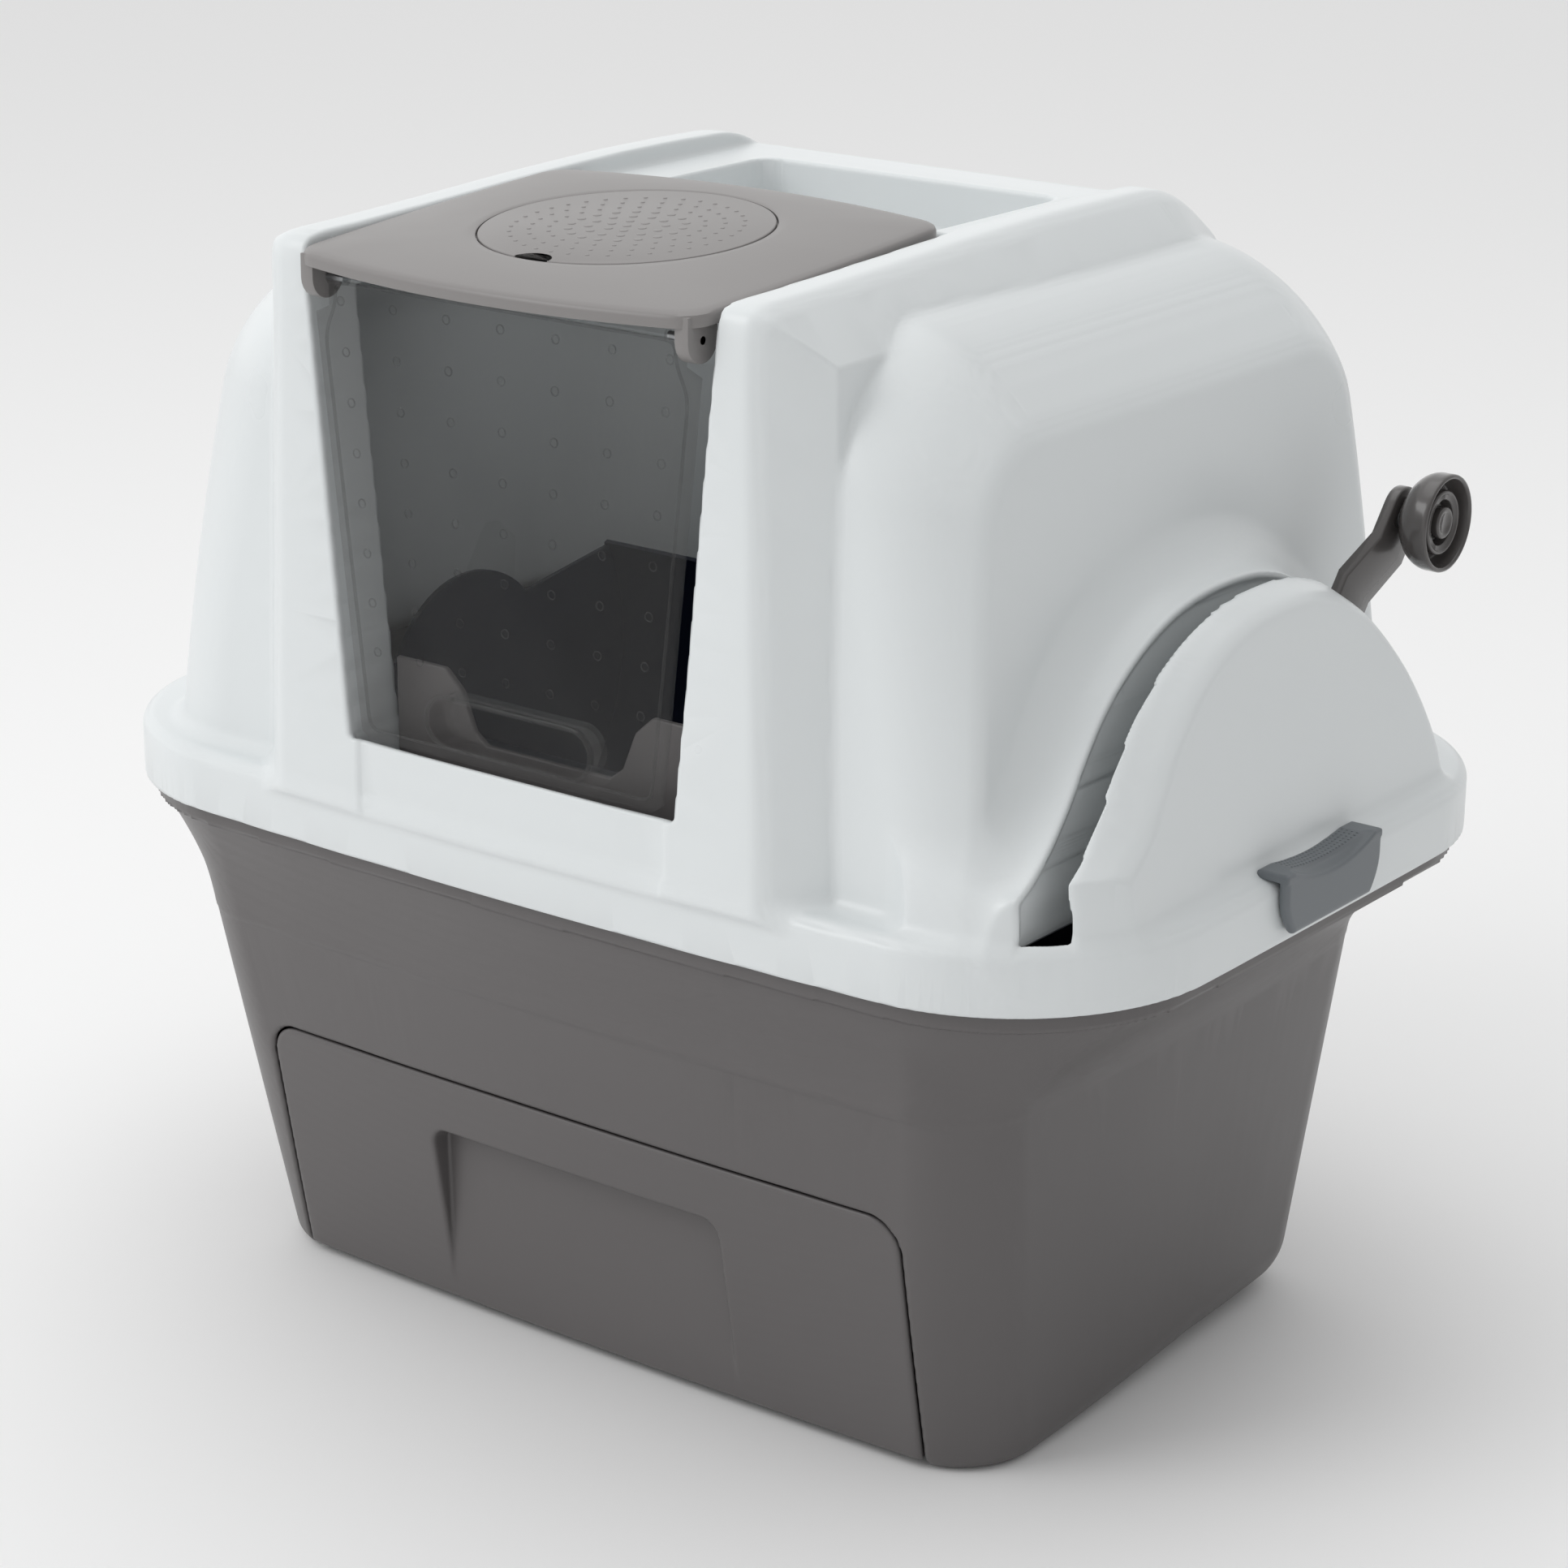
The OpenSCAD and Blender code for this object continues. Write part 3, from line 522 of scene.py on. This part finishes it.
# The lever's cover is an arch whose outline shrinks from where it meets the body to its outer face.
arch_y = -12
arch_side = rounded_corners([(arch_y + py, pz) for py, pz in [
    (-199, 285), (-197, 329), (-183, 333), (-164, 346), (-147, 364), (-136, 379), (-121, 397), (-106, 410),
    (-80, 426), (-50, 437), (-20, 441), (10, 441), (34, 438), (58, 430), (80, 416), (98, 400), (118, 380),
    (132, 362), (144, 343), (152, 325), (156, 300), (156, 285)]], 20)
arch_side = outline_field(arch_side, y.ravel(), z.ravel())[None, :, :]
face_side = rounded_corners([(arch_y + py, pz) for py, pz in [
    (-180, 285), (-178, 327), (-158, 334), (-140, 343), (-127, 356), (-116, 373), (-104, 391), (-82, 412),
    (-56, 426), (-24, 433.5), (10, 434), (34, 431), (56, 423), (78, 410), (96, 395), (116, 375), (130, 357),
    (142, 338), (150, 322), (154, 300), (154, 285)]], 20)
face_side = outline_field(face_side, y.ravel(), z.ravel())[None, :, :]
slot_out = 299.5 - 0.077 * (z - ledge_z)
slot_in = 281.3 - 0.053 * (z - ledge_z)
arch_face = 317 - 0.077 * (z - ledge_z)
slide = np.clip((x - slot_out) / (arch_face - slot_out), 0, 1)
arch = arch_side + (face_side - arch_side) * slide
arch = smooth_and(arch, (x - arch_face) * 0.997, 5)
arch = np.maximum(np.maximum(arch, 235 - x), rim + 4)

outside = smooth_or(body, arch, 26)
outside = smooth_or(outside, raised_frame, 2.5)
outside = smooth_or(outside, ledge, 8)

# Inside, thin walls stand where the outside isn't: jambs beside the doorway, a deck and a well behind the
# hatch, and a wall between the litter and the lever's slot. The outer wall is thicker on the lever side.
well_half_w, well_y, well_half_d, well_floor = 97, 29, 71, 560
roof_back_y, deck_front_y, deck_top, jamb_half = -42, -50, 590, 1.5
inner_edge = 101 + 0.0973 * (z - 302)
jamb = np.abs(np.abs(x) - inner_edge - jamb_half) - jamb_half
skirt = np.maximum(jamb, well_floor - wall - z)
jamb = np.maximum(jamb, np.minimum(y + 196, np.maximum(562 - z, y - roof_back_y)))
deck = np.maximum(np.abs(x) - inner_edge - 2 * jamb_half, np.abs(z - (deck_top - 2)) - 2)
tray = np.maximum(np.abs(x) - (well_half_w + wall), np.abs(y - well_y) - (well_half_d + wall))
tray = np.maximum(tray, well_floor - wall - z)
keep = np.maximum(np.minimum(np.minimum(deck, tray), skirt), deck_front_y + 4.5 - y)
keep = np.minimum(keep, jamb)
litter_wall = np.maximum(np.abs(x - slot_in + 4) - 2, ledge_z - wall - z)
keep = np.minimum(keep, litter_wall)
side_wall = wall + 1.2 * np.clip((x - 262) / 6, 0, 1)
hollow = np.maximum(outside + side_wall, -keep)
shell = np.maximum(outside, -hollow)

# The doorway runs up through the roof, where the hatch closes it, and a slit lets the hatch's back edge swing
# down. The well, the slot and the rim's inside are cut out with it.
front_wall_y, slit_back_y, slit_floor, slot_back_y = -190, -18, 577, 101
doorway = [(-104.6, sill_z), (104.6, sill_z), (133.9, 640), (-133.9, 640)]
doorway = outline_field(rounded_corners(doorway, 3), x.ravel(), z.ravel())[:, None, :]
cut = np.maximum(doorway, y - front_wall_y)
cut = np.minimum(cut, np.maximum(np.maximum(doorway, 556 - z), y - roof_back_y))
cut = np.minimum(cut, np.maximum(np.maximum(doorway, deck_top - z), deck_front_y - y))
slit = np.maximum(deck_front_y - y, y - slit_back_y)
cut = np.minimum(cut, np.maximum(np.maximum(doorway, slit_floor - z), slit))
well = smooth_and(np.abs(x) - well_half_w, np.abs(y - well_y) - well_half_d, 14)
well = smooth_and(well, well_floor - z, 5)
cut = np.minimum(cut, well)
slot_gap = smooth_and(slot_in - x, x - slot_out, 0.5)
slot_gap = np.maximum(np.maximum(slot_gap, y - slot_back_y), np.maximum(ledge_z - wall - 1 - z, rim + wall))
slot_gap = np.maximum(slot_gap, 230 - x)
cut = np.minimum(cut, slot_gap)
cut = np.minimum(cut, np.maximum(rim + wall, z - (ledge_z - wall)))
shell = smooth_and(shell, -cut, 1.3)
shell = np.maximum(shell, edge_of("hood_shell", 0, 2) - z)
hood_shell = surface_of("hood_moulding", shell, hood_low, hood_step, 195000)
finish_piece(hood_shell, hood_polypropylene, "base", "hood_plastic", "hood_shell")


def add_plate(form, outline, x0, x1):
    """A flat plate standing across X, from an outline in Y and Z, in mm."""
    a = [form.verts.new((x0 * MM, py * MM, pz * MM)) for py, pz in outline]
    b = [form.verts.new((x1 * MM, py * MM, pz * MM)) for py, pz in outline]
    faces = [form.faces.new(a), form.faces.new(b[::-1])]
    for i in range(len(a)):
        j = (i + 1) % len(a)
        faces.append(form.faces.new((a[j], a[i], b[i], b[j])))
    bmesh.ops.recalc_face_normals(form, faces=faces)
    sharp = [e for f in faces[:2] for e in f.edges]
    bmesh.ops.bevel(form, geom=sharp, offset=0.8 * MM, segments=2, affect="EDGES", profile=0.7)


# A small lug on each side of the band carries the clip's pin.
for side in (-1, 1):
    form = bmesh.new()
    add_plate(form, [(-14, 280.3), (2, 280.3), (2, 284.7), (-14, 284.7)], side * 326, side * 330.6)
    mesh = bpy.data.meshes.new("clip_lug")
    form.to_mesh(mesh)
    form.free()
    lug = bpy.data.objects.new("clip_lug_left" if side < 0 else "clip_lug_right", mesh)
    bpy.context.collection.objects.link(lug)
    finish_piece(lug, hood_polypropylene, "base", "hood_plastic")


# ---------------------------------------------------------------- hatch, filter and filter cover
# The mid-grey hatch is a thin crowned lid with a turned-down edge. A round cover drops into its seat over a
# basket of carbon foam; cover and lid carry the same fine satin texture.
hatch_polypropylene = moulded_plastic("mid_grey_polypropylene", "858281", 0.38)
hatch_tilt, lid_above_pin = deg(3.9), 5
hatch_pin, flap_pin = hinge_at("hatch_lift"), hinge_at("door_swing")
hatch_place = Matrix.Translation((hatch_pin + Vector((0, 0, lid_above_pin))) * MM)
hatch_place = hatch_place @ Matrix.Rotation(hatch_tilt, 4, "X")
filter_y, seat_r = -84, 74


def hatch_edge(angle):
    """Point of the lid's outline in the direction of an angle from the filter's centre."""
    half_w, front, back, radius, bow_x, bow_y = 124.5, -188, 8, 12, 2, 16
    reach = np.linspace(60, 200, 561)
    px, py = reach * math.cos(angle), filter_y + reach * math.sin(angle)
    outside_at = plan_field(px, py, half_w, front, back, radius, bow_x, bow_y)
    k = int(np.argmax(outside_at > 0))
    t = outside_at[k - 1] / (outside_at[k - 1] - outside_at[k])
    r = reach[k - 1] + t * (reach[k] - reach[k - 1])
    return r * math.cos(angle), filter_y + r * math.sin(angle)


def lid_loft(name, sides=240):
    """The lid as rings from its outer edge over the crown, down the filter seat and back underneath."""
    form = bmesh.new()
    angles = [2 * math.pi * i / sides for i in range(sides)]
    edge = [hatch_edge(t) for t in angles]

    def circle(radius):
        """Points on a circle about the filter's centre."""
        return [(radius * math.cos(t), filter_y + radius * math.sin(t)) for t in angles]

    def level(points, height):
        """Vertices on the given points, all at one height."""
        return [form.verts.new((px * MM, py * MM, height * MM)) for px, py in points]

    def ring(share, height):
        """A ring that lies a share of the way from the lid's edge to the filter's seat."""
        return level([(ex + (px - ex) * share, ey + (py - ey) * share)
                      for (ex, ey), (px, py) in zip(edge, circle(seat_r))], height)

    def crown_at(share):
        """Height of the crowned top at a share of the way in."""
        return 3 + 4 * (1 - (1 - share) ** 2)

    skirt_z, sheet, basket_r, hole_r = -3.5, 2.6, 70, 66
    rings = [ring(0.0, skirt_z), ring(0.0, 0.8), ring(0.008, 2.2), ring(0.03, 3.1)]
    rings += [ring(s, crown_at(s)) for s in (0.1, 0.2, 0.35, 0.5, 0.65, 0.8, 0.92)]
    rings += [level(circle(r), h) for r, h in (
        (seat_r + 0.7, 7.0), (seat_r, 6.6), (seat_r, 4.4), (basket_r, 4.4), (basket_r, 2.4), (hole_r, 2.4),
        (hole_r, 0.2), (seat_r + 2, 0.2))]
    rings += [ring(s, crown_at(s) - sheet) for s in (0.9, 0.65, 0.35, 0.12, 0.05)] + [ring(0.05, skirt_z)]
    for a, b in zip(rings, rings[1:] + rings[:1]):
        for i in range(sides):
            form.faces.new((a[i], a[(i + 1) % sides], b[(i + 1) % sides], b[i]))
    bmesh.ops.recalc_face_normals(form, faces=form.faces)
    form.transform(hatch_place)
    for side in (-1, 1):
        add_ear(form, side)
    mesh = bpy.data.meshes.new(name)
    form.to_mesh(mesh)
    form.free()
    mesh.polygons.foreach_set("use_smooth", np.ones(len(mesh.polygons), bool))
    mesh.set_sharp_from_angle(angle=deg(38))
    piece = bpy.data.objects.new(name, mesh)
    bpy.context.collection.objects.link(piece)
    return piece


def add_ear(form, side):
    """The ear that carries the flap, and the knuckle on the hatch hinge."""
    ear_r, knuckle_r = 11, 5
    ear = [(flap_pin.y - ear_r, 586)]
    ear += [(flap_pin.y + ear_r * math.cos(deg(t)), flap_pin.z + ear_r * math.sin(deg(t)))
            for t in range(180, 361, 15)]
    ear += [(flap_pin.y + ear_r, 586.5)]
    add_plate(form, ear, side * 112.5, side * 120.5)
    knuckle = [(hatch_pin.y - 4, 597.5)]
    knuckle += [(hatch_pin.y + knuckle_r * math.cos(deg(t)), hatch_pin.z + knuckle_r * math.sin(deg(t)))
                for t in range(180, 361, 20)]
    knuckle += [(hatch_pin.y + 4, 597.5)]
    add_plate(form, knuckle, side * 111, side * 118)


hatch_lid = lid_loft("hatch_lid_crowned")
finish_piece(hatch_lid, hatch_polypropylene, "hatch", "hatch_plastic", "hatch_lid")
dress("filter_basket", hatch_polypropylene)
# Carbon foam is full of open cells, so it is nearly black and has no gloss at all.
carbon_foam = moulded_plastic("activated_carbon_foam", "161616", 0.95, grain_mm=1.6, grain_depth_mm=0.5,
                              mottle=0.4)
dress("carbon_filter", carbon_foam)

cover_r, notch_r = 73, 10
cover_top, cover_under = 7.1, 4.5
notch_angle = 7.9  # the notch opens this many degrees to each side of the front


def cover_disc(name):
    """The filter cover: a flat disc with an eased edge and a half-round finger notch at its front."""
    form = bmesh.new()
    outline = []
    for t in np.linspace(-90 + notch_angle, 270 - notch_angle, 150):
        outline.append((cover_r * math.cos(deg(t)), cover_r * math.sin(deg(t))))
    for t in np.linspace(176, 4, 20):
        outline.append((notch_r * math.cos(deg(t)), -cover_r + notch_r * math.sin(deg(t))))
    top, low = ([form.verts.new((px * MM, (filter_y + py) * MM, height * MM)) for px, py in outline]
                for height in (cover_top, cover_under))
    faces = [form.faces.new(top), form.faces.new(low[::-1])]
    for i in range(len(top)):
        j = (i + 1) % len(top)
        faces.append(form.faces.new((top[j], top[i], low[i], low[j])))
    bmesh.ops.recalc_face_normals(form, faces=faces)
    bmesh.ops.bevel(form, geom=list(faces[0].edges), offset=0.7 * MM, segments=3, affect="EDGES", profile=0.5)
    form.transform(hatch_place)
    mesh = bpy.data.meshes.new(name)
    form.to_mesh(mesh)
    form.free()
    mesh.polygons.foreach_set("use_smooth", np.ones(len(mesh.polygons), bool))
    mesh.set_sharp_from_angle(angle=deg(38))
    piece = bpy.data.objects.new(name, mesh)
    bpy.context.collection.objects.link(piece)
    return piece


def stud_tree(name, ring):
    """Geometry Nodes: a small dome or ring on every vertex, with its size and material as inputs."""
    tree = bpy.data.node_groups.new(name, "GeometryNodeTree")
    sockets = [("Geometry", "INPUT", "NodeSocketGeometry"), ("Radius", "INPUT", "NodeSocketFloat"),
               ("Height", "INPUT", "NodeSocketFloat"), ("Tilt", "INPUT", "NodeSocketVector"),
               ("Material", "INPUT", "NodeSocketMaterial"), ("Geometry", "OUTPUT", "NodeSocketGeometry")]
    for label, way, kind in sockets:
        tree.interface.new_socket(name=label, in_out=way, socket_type=kind)
    given = add(tree, "NodeGroupInput").outputs
    if ring:
        path = add(tree, "GeometryNodeCurvePrimitiveCircle", Resolution=18, Radius=given["Radius"])
        wire = add(tree, "GeometryNodeCurvePrimitiveCircle", Resolution=6, Radius=given["Height"])
        form = add(tree, "GeometryNodeCurveToMesh", Curve=path.outputs["Curve"],
                   Profile_Curve=wire.outputs["Curve"])
        form = form.outputs["Mesh"]
    else:
        ball = add(tree, "GeometryNodeMeshUVSphere", Segments=14, Rings=8, Radius=given["Radius"])
        ratio = add(tree, "ShaderNodeMath", {"operation": "DIVIDE"}, i0=given["Height"], i1=given["Radius"])
        scale = add(tree, "ShaderNodeCombineXYZ", X=1.0, Y=1.0, Z=ratio.outputs["Value"])
        form = add(tree, "GeometryNodeTransform", Geometry=ball.outputs["Mesh"],
                   Scale=scale.outputs["Vector"])
        form = form.outputs["Geometry"]
    copies = add(tree, "GeometryNodeInstanceOnPoints", Points=given["Geometry"], Instance=form,
                 Rotation=given["Tilt"])
    solid = add(tree, "GeometryNodeRealizeInstances", Geometry=copies.outputs["Instances"])
    smooth = add(tree, "GeometryNodeSetShadeSmooth", Geometry=solid.outputs["Geometry"])
    dressed = add(tree, "GeometryNodeSetMaterial", Geometry=smooth.outputs["Geometry"],
                  Material=given["Material"])
    add(tree, "NodeGroupOutput", Geometry=dressed.outputs["Geometry"])
    return tree


dome_tree, ring_tree = stud_tree("domes_on_points", False), stud_tree("rings_on_points", True)


def studs(name, places, tree, radius, height, tilt, material):
    """Small domes or rings on a list of places, in metres, as a plain mesh."""
    mesh = bpy.data.meshes.new(name)
    mesh.from_pydata([tuple(p) for p in places], [], [])
    piece = bpy.data.objects.new(name, mesh)
    bpy.context.collection.objects.link(piece)
    repeat = piece.modifiers.new("repeat", "NODES")
    repeat.node_group = tree
    values = {"Radius": radius * MM, "Height": height * MM, "Tilt": tilt, "Material": material}
    for item in tree.interface.items_tree:
        if item.in_out == "INPUT" and item.name in values:
            repeat[item.identifier] = values[item.name]
    apply_modifiers(piece)
    return piece


filter_cover = cover_disc("filter_cover_disc")
finish_piece(filter_cover, hatch_polypropylene, "cover", "hatch_plastic", "filter_cover")

# Moulded studs in rings of 6, 12, 18 and so on about a middle one: large inside, small towards the edge.
dot_rings, dot_pitch, dot_height = 7, 9.6, 0.35
cover_dots = []
for ring_number in range(dot_rings):
    count = max(1, 6 * ring_number)
    for k in range(count):
        t = 2 * math.pi * k / count
        px, py = dot_pitch * ring_number * math.cos(t), dot_pitch * ring_number * math.sin(t)
        cover_dots.append((hatch_place @ (Vector((px, filter_y + py, cover_top)) * MM), ring_number))
for size, first, last in ((2.3, 0, 3), (1.2, 4, 6)):
    places = [p for p, n in cover_dots if first <= n <= last]
    dots = studs("cover_dots_%d" % first, places, dome_tree, size, dot_height, (hatch_tilt, 0, 0),
                 hatch_polypropylene)
    finish_piece(dots, hatch_polypropylene, "cover", "hatch_plastic")


# ---------------------------------------------------------------- flap door
# The flap is a 3 mm smoke-clear polystyrene moulding hung between the hatch's ears. A raised bead follows its
# edge, small moulded rings are spread over it, and a long finger pull is pressed into its foot.
def clear_polystyrene(name):
    """Clear moulded sheet with a smoke tint: polished, so that it mirrors, and very slightly wavy."""
    material = bpy.data.materials.new(name)
    material.use_nodes = True
    tree = material.node_tree
    tree.nodes.clear()
    place = add(tree, "ShaderNodeTexCoord").outputs["Object"]
    ripple = add(tree, "ShaderNodeTexNoise", Vector=place, Scale=14.0, Detail=1.0)
    bump = add(tree, "ShaderNodeBump", Strength=0.15, Distance=0.4 * MM, Height=ripple.outputs["Fac"])
    shader = add(tree, "ShaderNodeBsdfPrincipled", Base_Color=linear("1c1b19"), Roughness=0.05, IOR=1.5,
                 Alpha=0.15, Normal=bump.outputs["Normal"], Coat_Weight=1.0, Coat_Roughness=0.03)
    add(tree, "ShaderNodeOutputMaterial", Surface=shader.outputs["BSDF"])
    return material


smoke_clear = clear_polystyrene("smoke_clear_polystyrene")
flap = eased("door_panel", 0.7, "flap_panel")
finish_piece(flap, smoke_clear, "door", "door_clear", "door_panel")


def flap_half(height):
    """Half the flap's width at a height."""
    return 96 + 0.108 * (height - sill_z)


def bead(name, points, radius):
    """A round bead laid along a closed path, in mm."""
    curve = bpy.data.curves.new(name, "CURVE")
    curve.dimensions = "3D"
    curve.bevel_depth = radius * MM
    curve.bevel_resolution = 2
    spline = curve.splines.new("POLY")
    spline.points.add(len(points) - 1)
    for point, place in zip(spline.points, points):
        point.co = [c * MM for c in place] + [1]
    spline.use_cyclic_u = True
    maker = bpy.data.objects.new(name + "_path", curve)
    bpy.context.collection.objects.link(maker)
    mesh = bpy.data.meshes.new_from_object(maker.evaluated_get(bpy.context.evaluated_depsgraph_get()))
    bpy.data.objects.remove(maker)
    piece = bpy.data.objects.new(name, mesh)
    bpy.context.collection.objects.link(piece)
    return piece


inset, flap_foot, flap_top, neck_half_w, bead_y = 5.5, 341, 552, 106, -233
half_foot, half_top = flap_half(flap_foot + 1) - inset, flap_half(flap_top) - inset
edge_path = rounded_corners([(-half_foot, flap_foot + inset), (half_foot, flap_foot + inset),
                             (half_top, flap_top - inset), (neck_half_w, 562), (neck_half_w, 572),
                             (-neck_half_w, 572), (-neck_half_w, 562), (-half_top, flap_top - inset)], 7, 5)
flap_bead = bead("flap_edge_bead", [(px, bead_y, pz) for px, pz in edge_path], 0.9)
finish_piece(flap_bead, smoke_clear, "door", "door_clear")
grip_half, grip_r, grip_z = 40, 13, 360
half_turn = [(grip_r * math.cos(deg(t)), grip_r * math.sin(deg(t))) for t in range(-90, 91, 15)]
pull_path = [(grip_half + across, grip_z + up) for across, up in half_turn]
pull_path += [(-grip_half - across, grip_z + up) for across, up in reversed(half_turn)]
pull_bead = bead("flap_pull_bead", [(px, bead_y, pz) for px, pz in pull_path], 1.1)
finish_piece(pull_bead, smoke_clear, "door", "door_clear")
ring_places, ring_rows, ring_columns, row_pitch = [], 8, 7, 25
for row in range(ring_rows):
    height = 388 + row * row_pitch
    for column in range(ring_columns):
        across = (column - ring_columns // 2) * (flap_half(height) - 14) / 3.1
        ring_places.append(Vector((across, bead_y, height)) * MM)
flap_rings = studs("flap_rings", ring_places, ring_tree, 2.2, 0.45, (deg(90), 0, 0), smoke_clear)
finish_piece(flap_rings, smoke_clear, "door", "door_clear")


# ---------------------------------------------------------------- side clips
# Two blue-grey clips hold the hood on the tub. Each turns on a wire pin at its foot and hooks over the ledge;
# its thumb saddle has a fine pattern of grip dots.
# Satin like the tub, in a cooler tone.
clip_polypropylene = moulded_plastic("blue_grey_polypropylene", "6b7074", 0.38)
clip_step, clip_low = 0.8 * coarse, (315, -56, 276)
clip_pin = hinge_at("latch_right_turn")
clip_out, clip_in, clip_foot = edge_of("latch_right", 1, 0), 330.5, edge_of("latch_right", 0, 2)
clip_top, clip_half = edge_of("latch_right", 1, 2), 46
hook_in, hook_under, pin_boss_r = 318.2, ledge_z + 0.4, 2.9


def saddle_dip(along, radius, low):
    """Height of a hollow of the given radius, from its lowest point."""
    return low + radius - np.sqrt(radius ** 2 - along ** 2)


inner_hollow, outer_hollow = (200, 309.2), (98, 304)  # radius and lowest point, inboard and on the outer face
for side, word in ((-1, "left"), (1, "right")):
    x, y, z = grid(clip_low, (340, 44, 316), clip_step)
    along = y - clip_pin.y
    inner_dip, outer_dip = saddle_dip(along, *inner_hollow), saddle_dip(along, *outer_hollow)
    saddle = z - np.minimum(clip_top, inner_dip + (outer_dip - inner_dip) * np.clip((x - 330) / 4, 0, 1))
    ends = np.abs(along) - clip_half
    face = smooth_and(x - clip_out, clip_in - x, 1.5)
    narrowing = np.clip((300 - z) / 20, 0, 1) ** 2 * 9
    leg = smooth_and(face, ends + narrowing, 3)
    leg = np.maximum(leg, np.hypot(x - clip_pin.x, np.minimum(z - clip_pin.z, 0)) - pin_boss_r)
    hook = np.maximum(smooth_and(x - clip_out, hook_in - x, 3), np.maximum(ends, hook_under - z))
    clip_body = np.maximum(smooth_and(np.minimum(leg, hook), saddle, 1.6), clip_foot - z)
    clip = surface_of("clip_" + word + "_body", clip_body, clip_low, clip_step, 60000)
    if side < 0:
        clip.data.transform(Matrix.Scale(-1, 4, (1, 0, 0)))
        clip.data.flip_normals()
    finish_piece(clip, clip_polypropylene, "clip_" + word, "latch_plastic", "latch_" + word)
    grip, grip_pitch = [], 2.9
    for row in range(5):
        for k in range(25):
            along, across = (k - 12) * grip_pitch, 321 + row * grip_pitch
            top = saddle_dip(along, *(inner_hollow if across < 330 else outer_hollow))
            if top < clip_top:
                grip.append(Vector((side * across, clip_pin.y + along, top)) * MM)
    dots = studs("clip_" + word + "_grip", grip, dome_tree, 0.7, 0.35, (0, 0, 0), clip_polypropylene)
    finish_piece(dots, clip_polypropylene, "clip_" + word, "latch_plastic")


# ---------------------------------------------------------------- floor, light and camera
# A pale seamless floor and wide soft lights, as in a product studio. The sky is brighter on the -X side, so
# that the two sides of the hood differ in tone.
floor_mesh = bpy.data.meshes.new("floor")
floor_mesh.from_pydata([(-25, -25, 0), (25, -25, 0), (25, 25, 0), (-25, 25, 0)], [], [(0, 1, 2, 3)])
floor = bpy.data.objects.new("floor", floor_mesh)
bpy.context.collection.objects.link(floor)
floor_paint = bpy.data.materials.new("pale_studio_floor")
floor_paint.use_nodes = True
floor_shader = floor_paint.node_tree.nodes["Principled BSDF"]
floor_shader.inputs["Base Color"].default_value = (0.93, 0.93, 0.93, 1)
floor_shader.inputs["Roughness"].default_value = 0.8
floor_shader.inputs["Specular IOR Level"].default_value = 0.2
floor.data.materials.append(floor_paint)

studio = bpy.data.worlds.new("studio")
bpy.context.scene.world = studio
studio.use_nodes = True
studio.node_tree.nodes["Background"].inputs["Color"].default_value = (1, 1, 1, 1)
sky = add(studio.node_tree, "ShaderNodeTexCoord").outputs["Generated"]
across = add(studio.node_tree, "ShaderNodeSeparateXYZ", Vector=sky).outputs["X"]
shade = add(studio.node_tree, "ShaderNodeMapRange", Value=across, From_Min=-0.5, From_Max=0.9, To_Min=0.98,
            To_Max=0.42)
studio.node_tree.links.new(shade.outputs["Result"], studio.node_tree.nodes["Background"].inputs["Strength"])


def softbox(name, place, target, size, power):
    """A square studio light aimed at a point, in metres and watts."""
    lamp = bpy.data.lights.new(name, "AREA")
    lamp.shape, lamp.size, lamp.energy = "SQUARE", size, power
    holder = bpy.data.objects.new(name, lamp)
    bpy.context.collection.objects.link(holder)
    holder.location = place
    holder.rotation_euler = (Vector(target) - Vector(place)).to_track_quat("-Z", "Y").to_euler()


softbox("key", place=(-1.6, -2.6, 2.6), target=(0, 0, 0.3), size=1.8, power=26)
softbox("overhead", place=(0.0, 0.3, 3.0), target=(0, 0, 0.3), size=2.4, power=15)

# Stands in for the light that passes through the thin white walls of the hood.
softbox("glow_through_walls", place=(0, -0.06, 0.49), target=(0, 0.2, 0.42), size=0.08, power=0.16)

# The camera looks down a little on the front and the lever side, through a long lens.
azimuth, elevation, roll = deg(37.1), deg(18.75), deg(0.42)
flat = math.cos(elevation)
back = Vector((math.sin(azimuth) * flat, -math.cos(azimuth) * flat, math.sin(elevation)))
right = (-back).cross(Vector((0, 0, 1))).normalized()
up = right.cross(-back)
level_right = right * math.cos(roll) + up * math.sin(roll)
level_up = up * math.cos(roll) - right * math.sin(roll)
camera_data = bpy.data.cameras.new("camera")
camera_data.lens, camera_data.sensor_width = 91.26, 36  # both in mm
camera = bpy.data.objects.new("camera", camera_data)
bpy.context.collection.objects.link(camera)
turn = Matrix((level_right, level_up, back)).transposed().to_4x4()
camera_place = Vector((1221.4, -1623.2, 963.9)) * MM
camera.matrix_world = Matrix.Translation(camera_place) @ turn
bpy.context.scene.camera = camera
bpy.context.scene.view_settings.view_transform = "Standard"
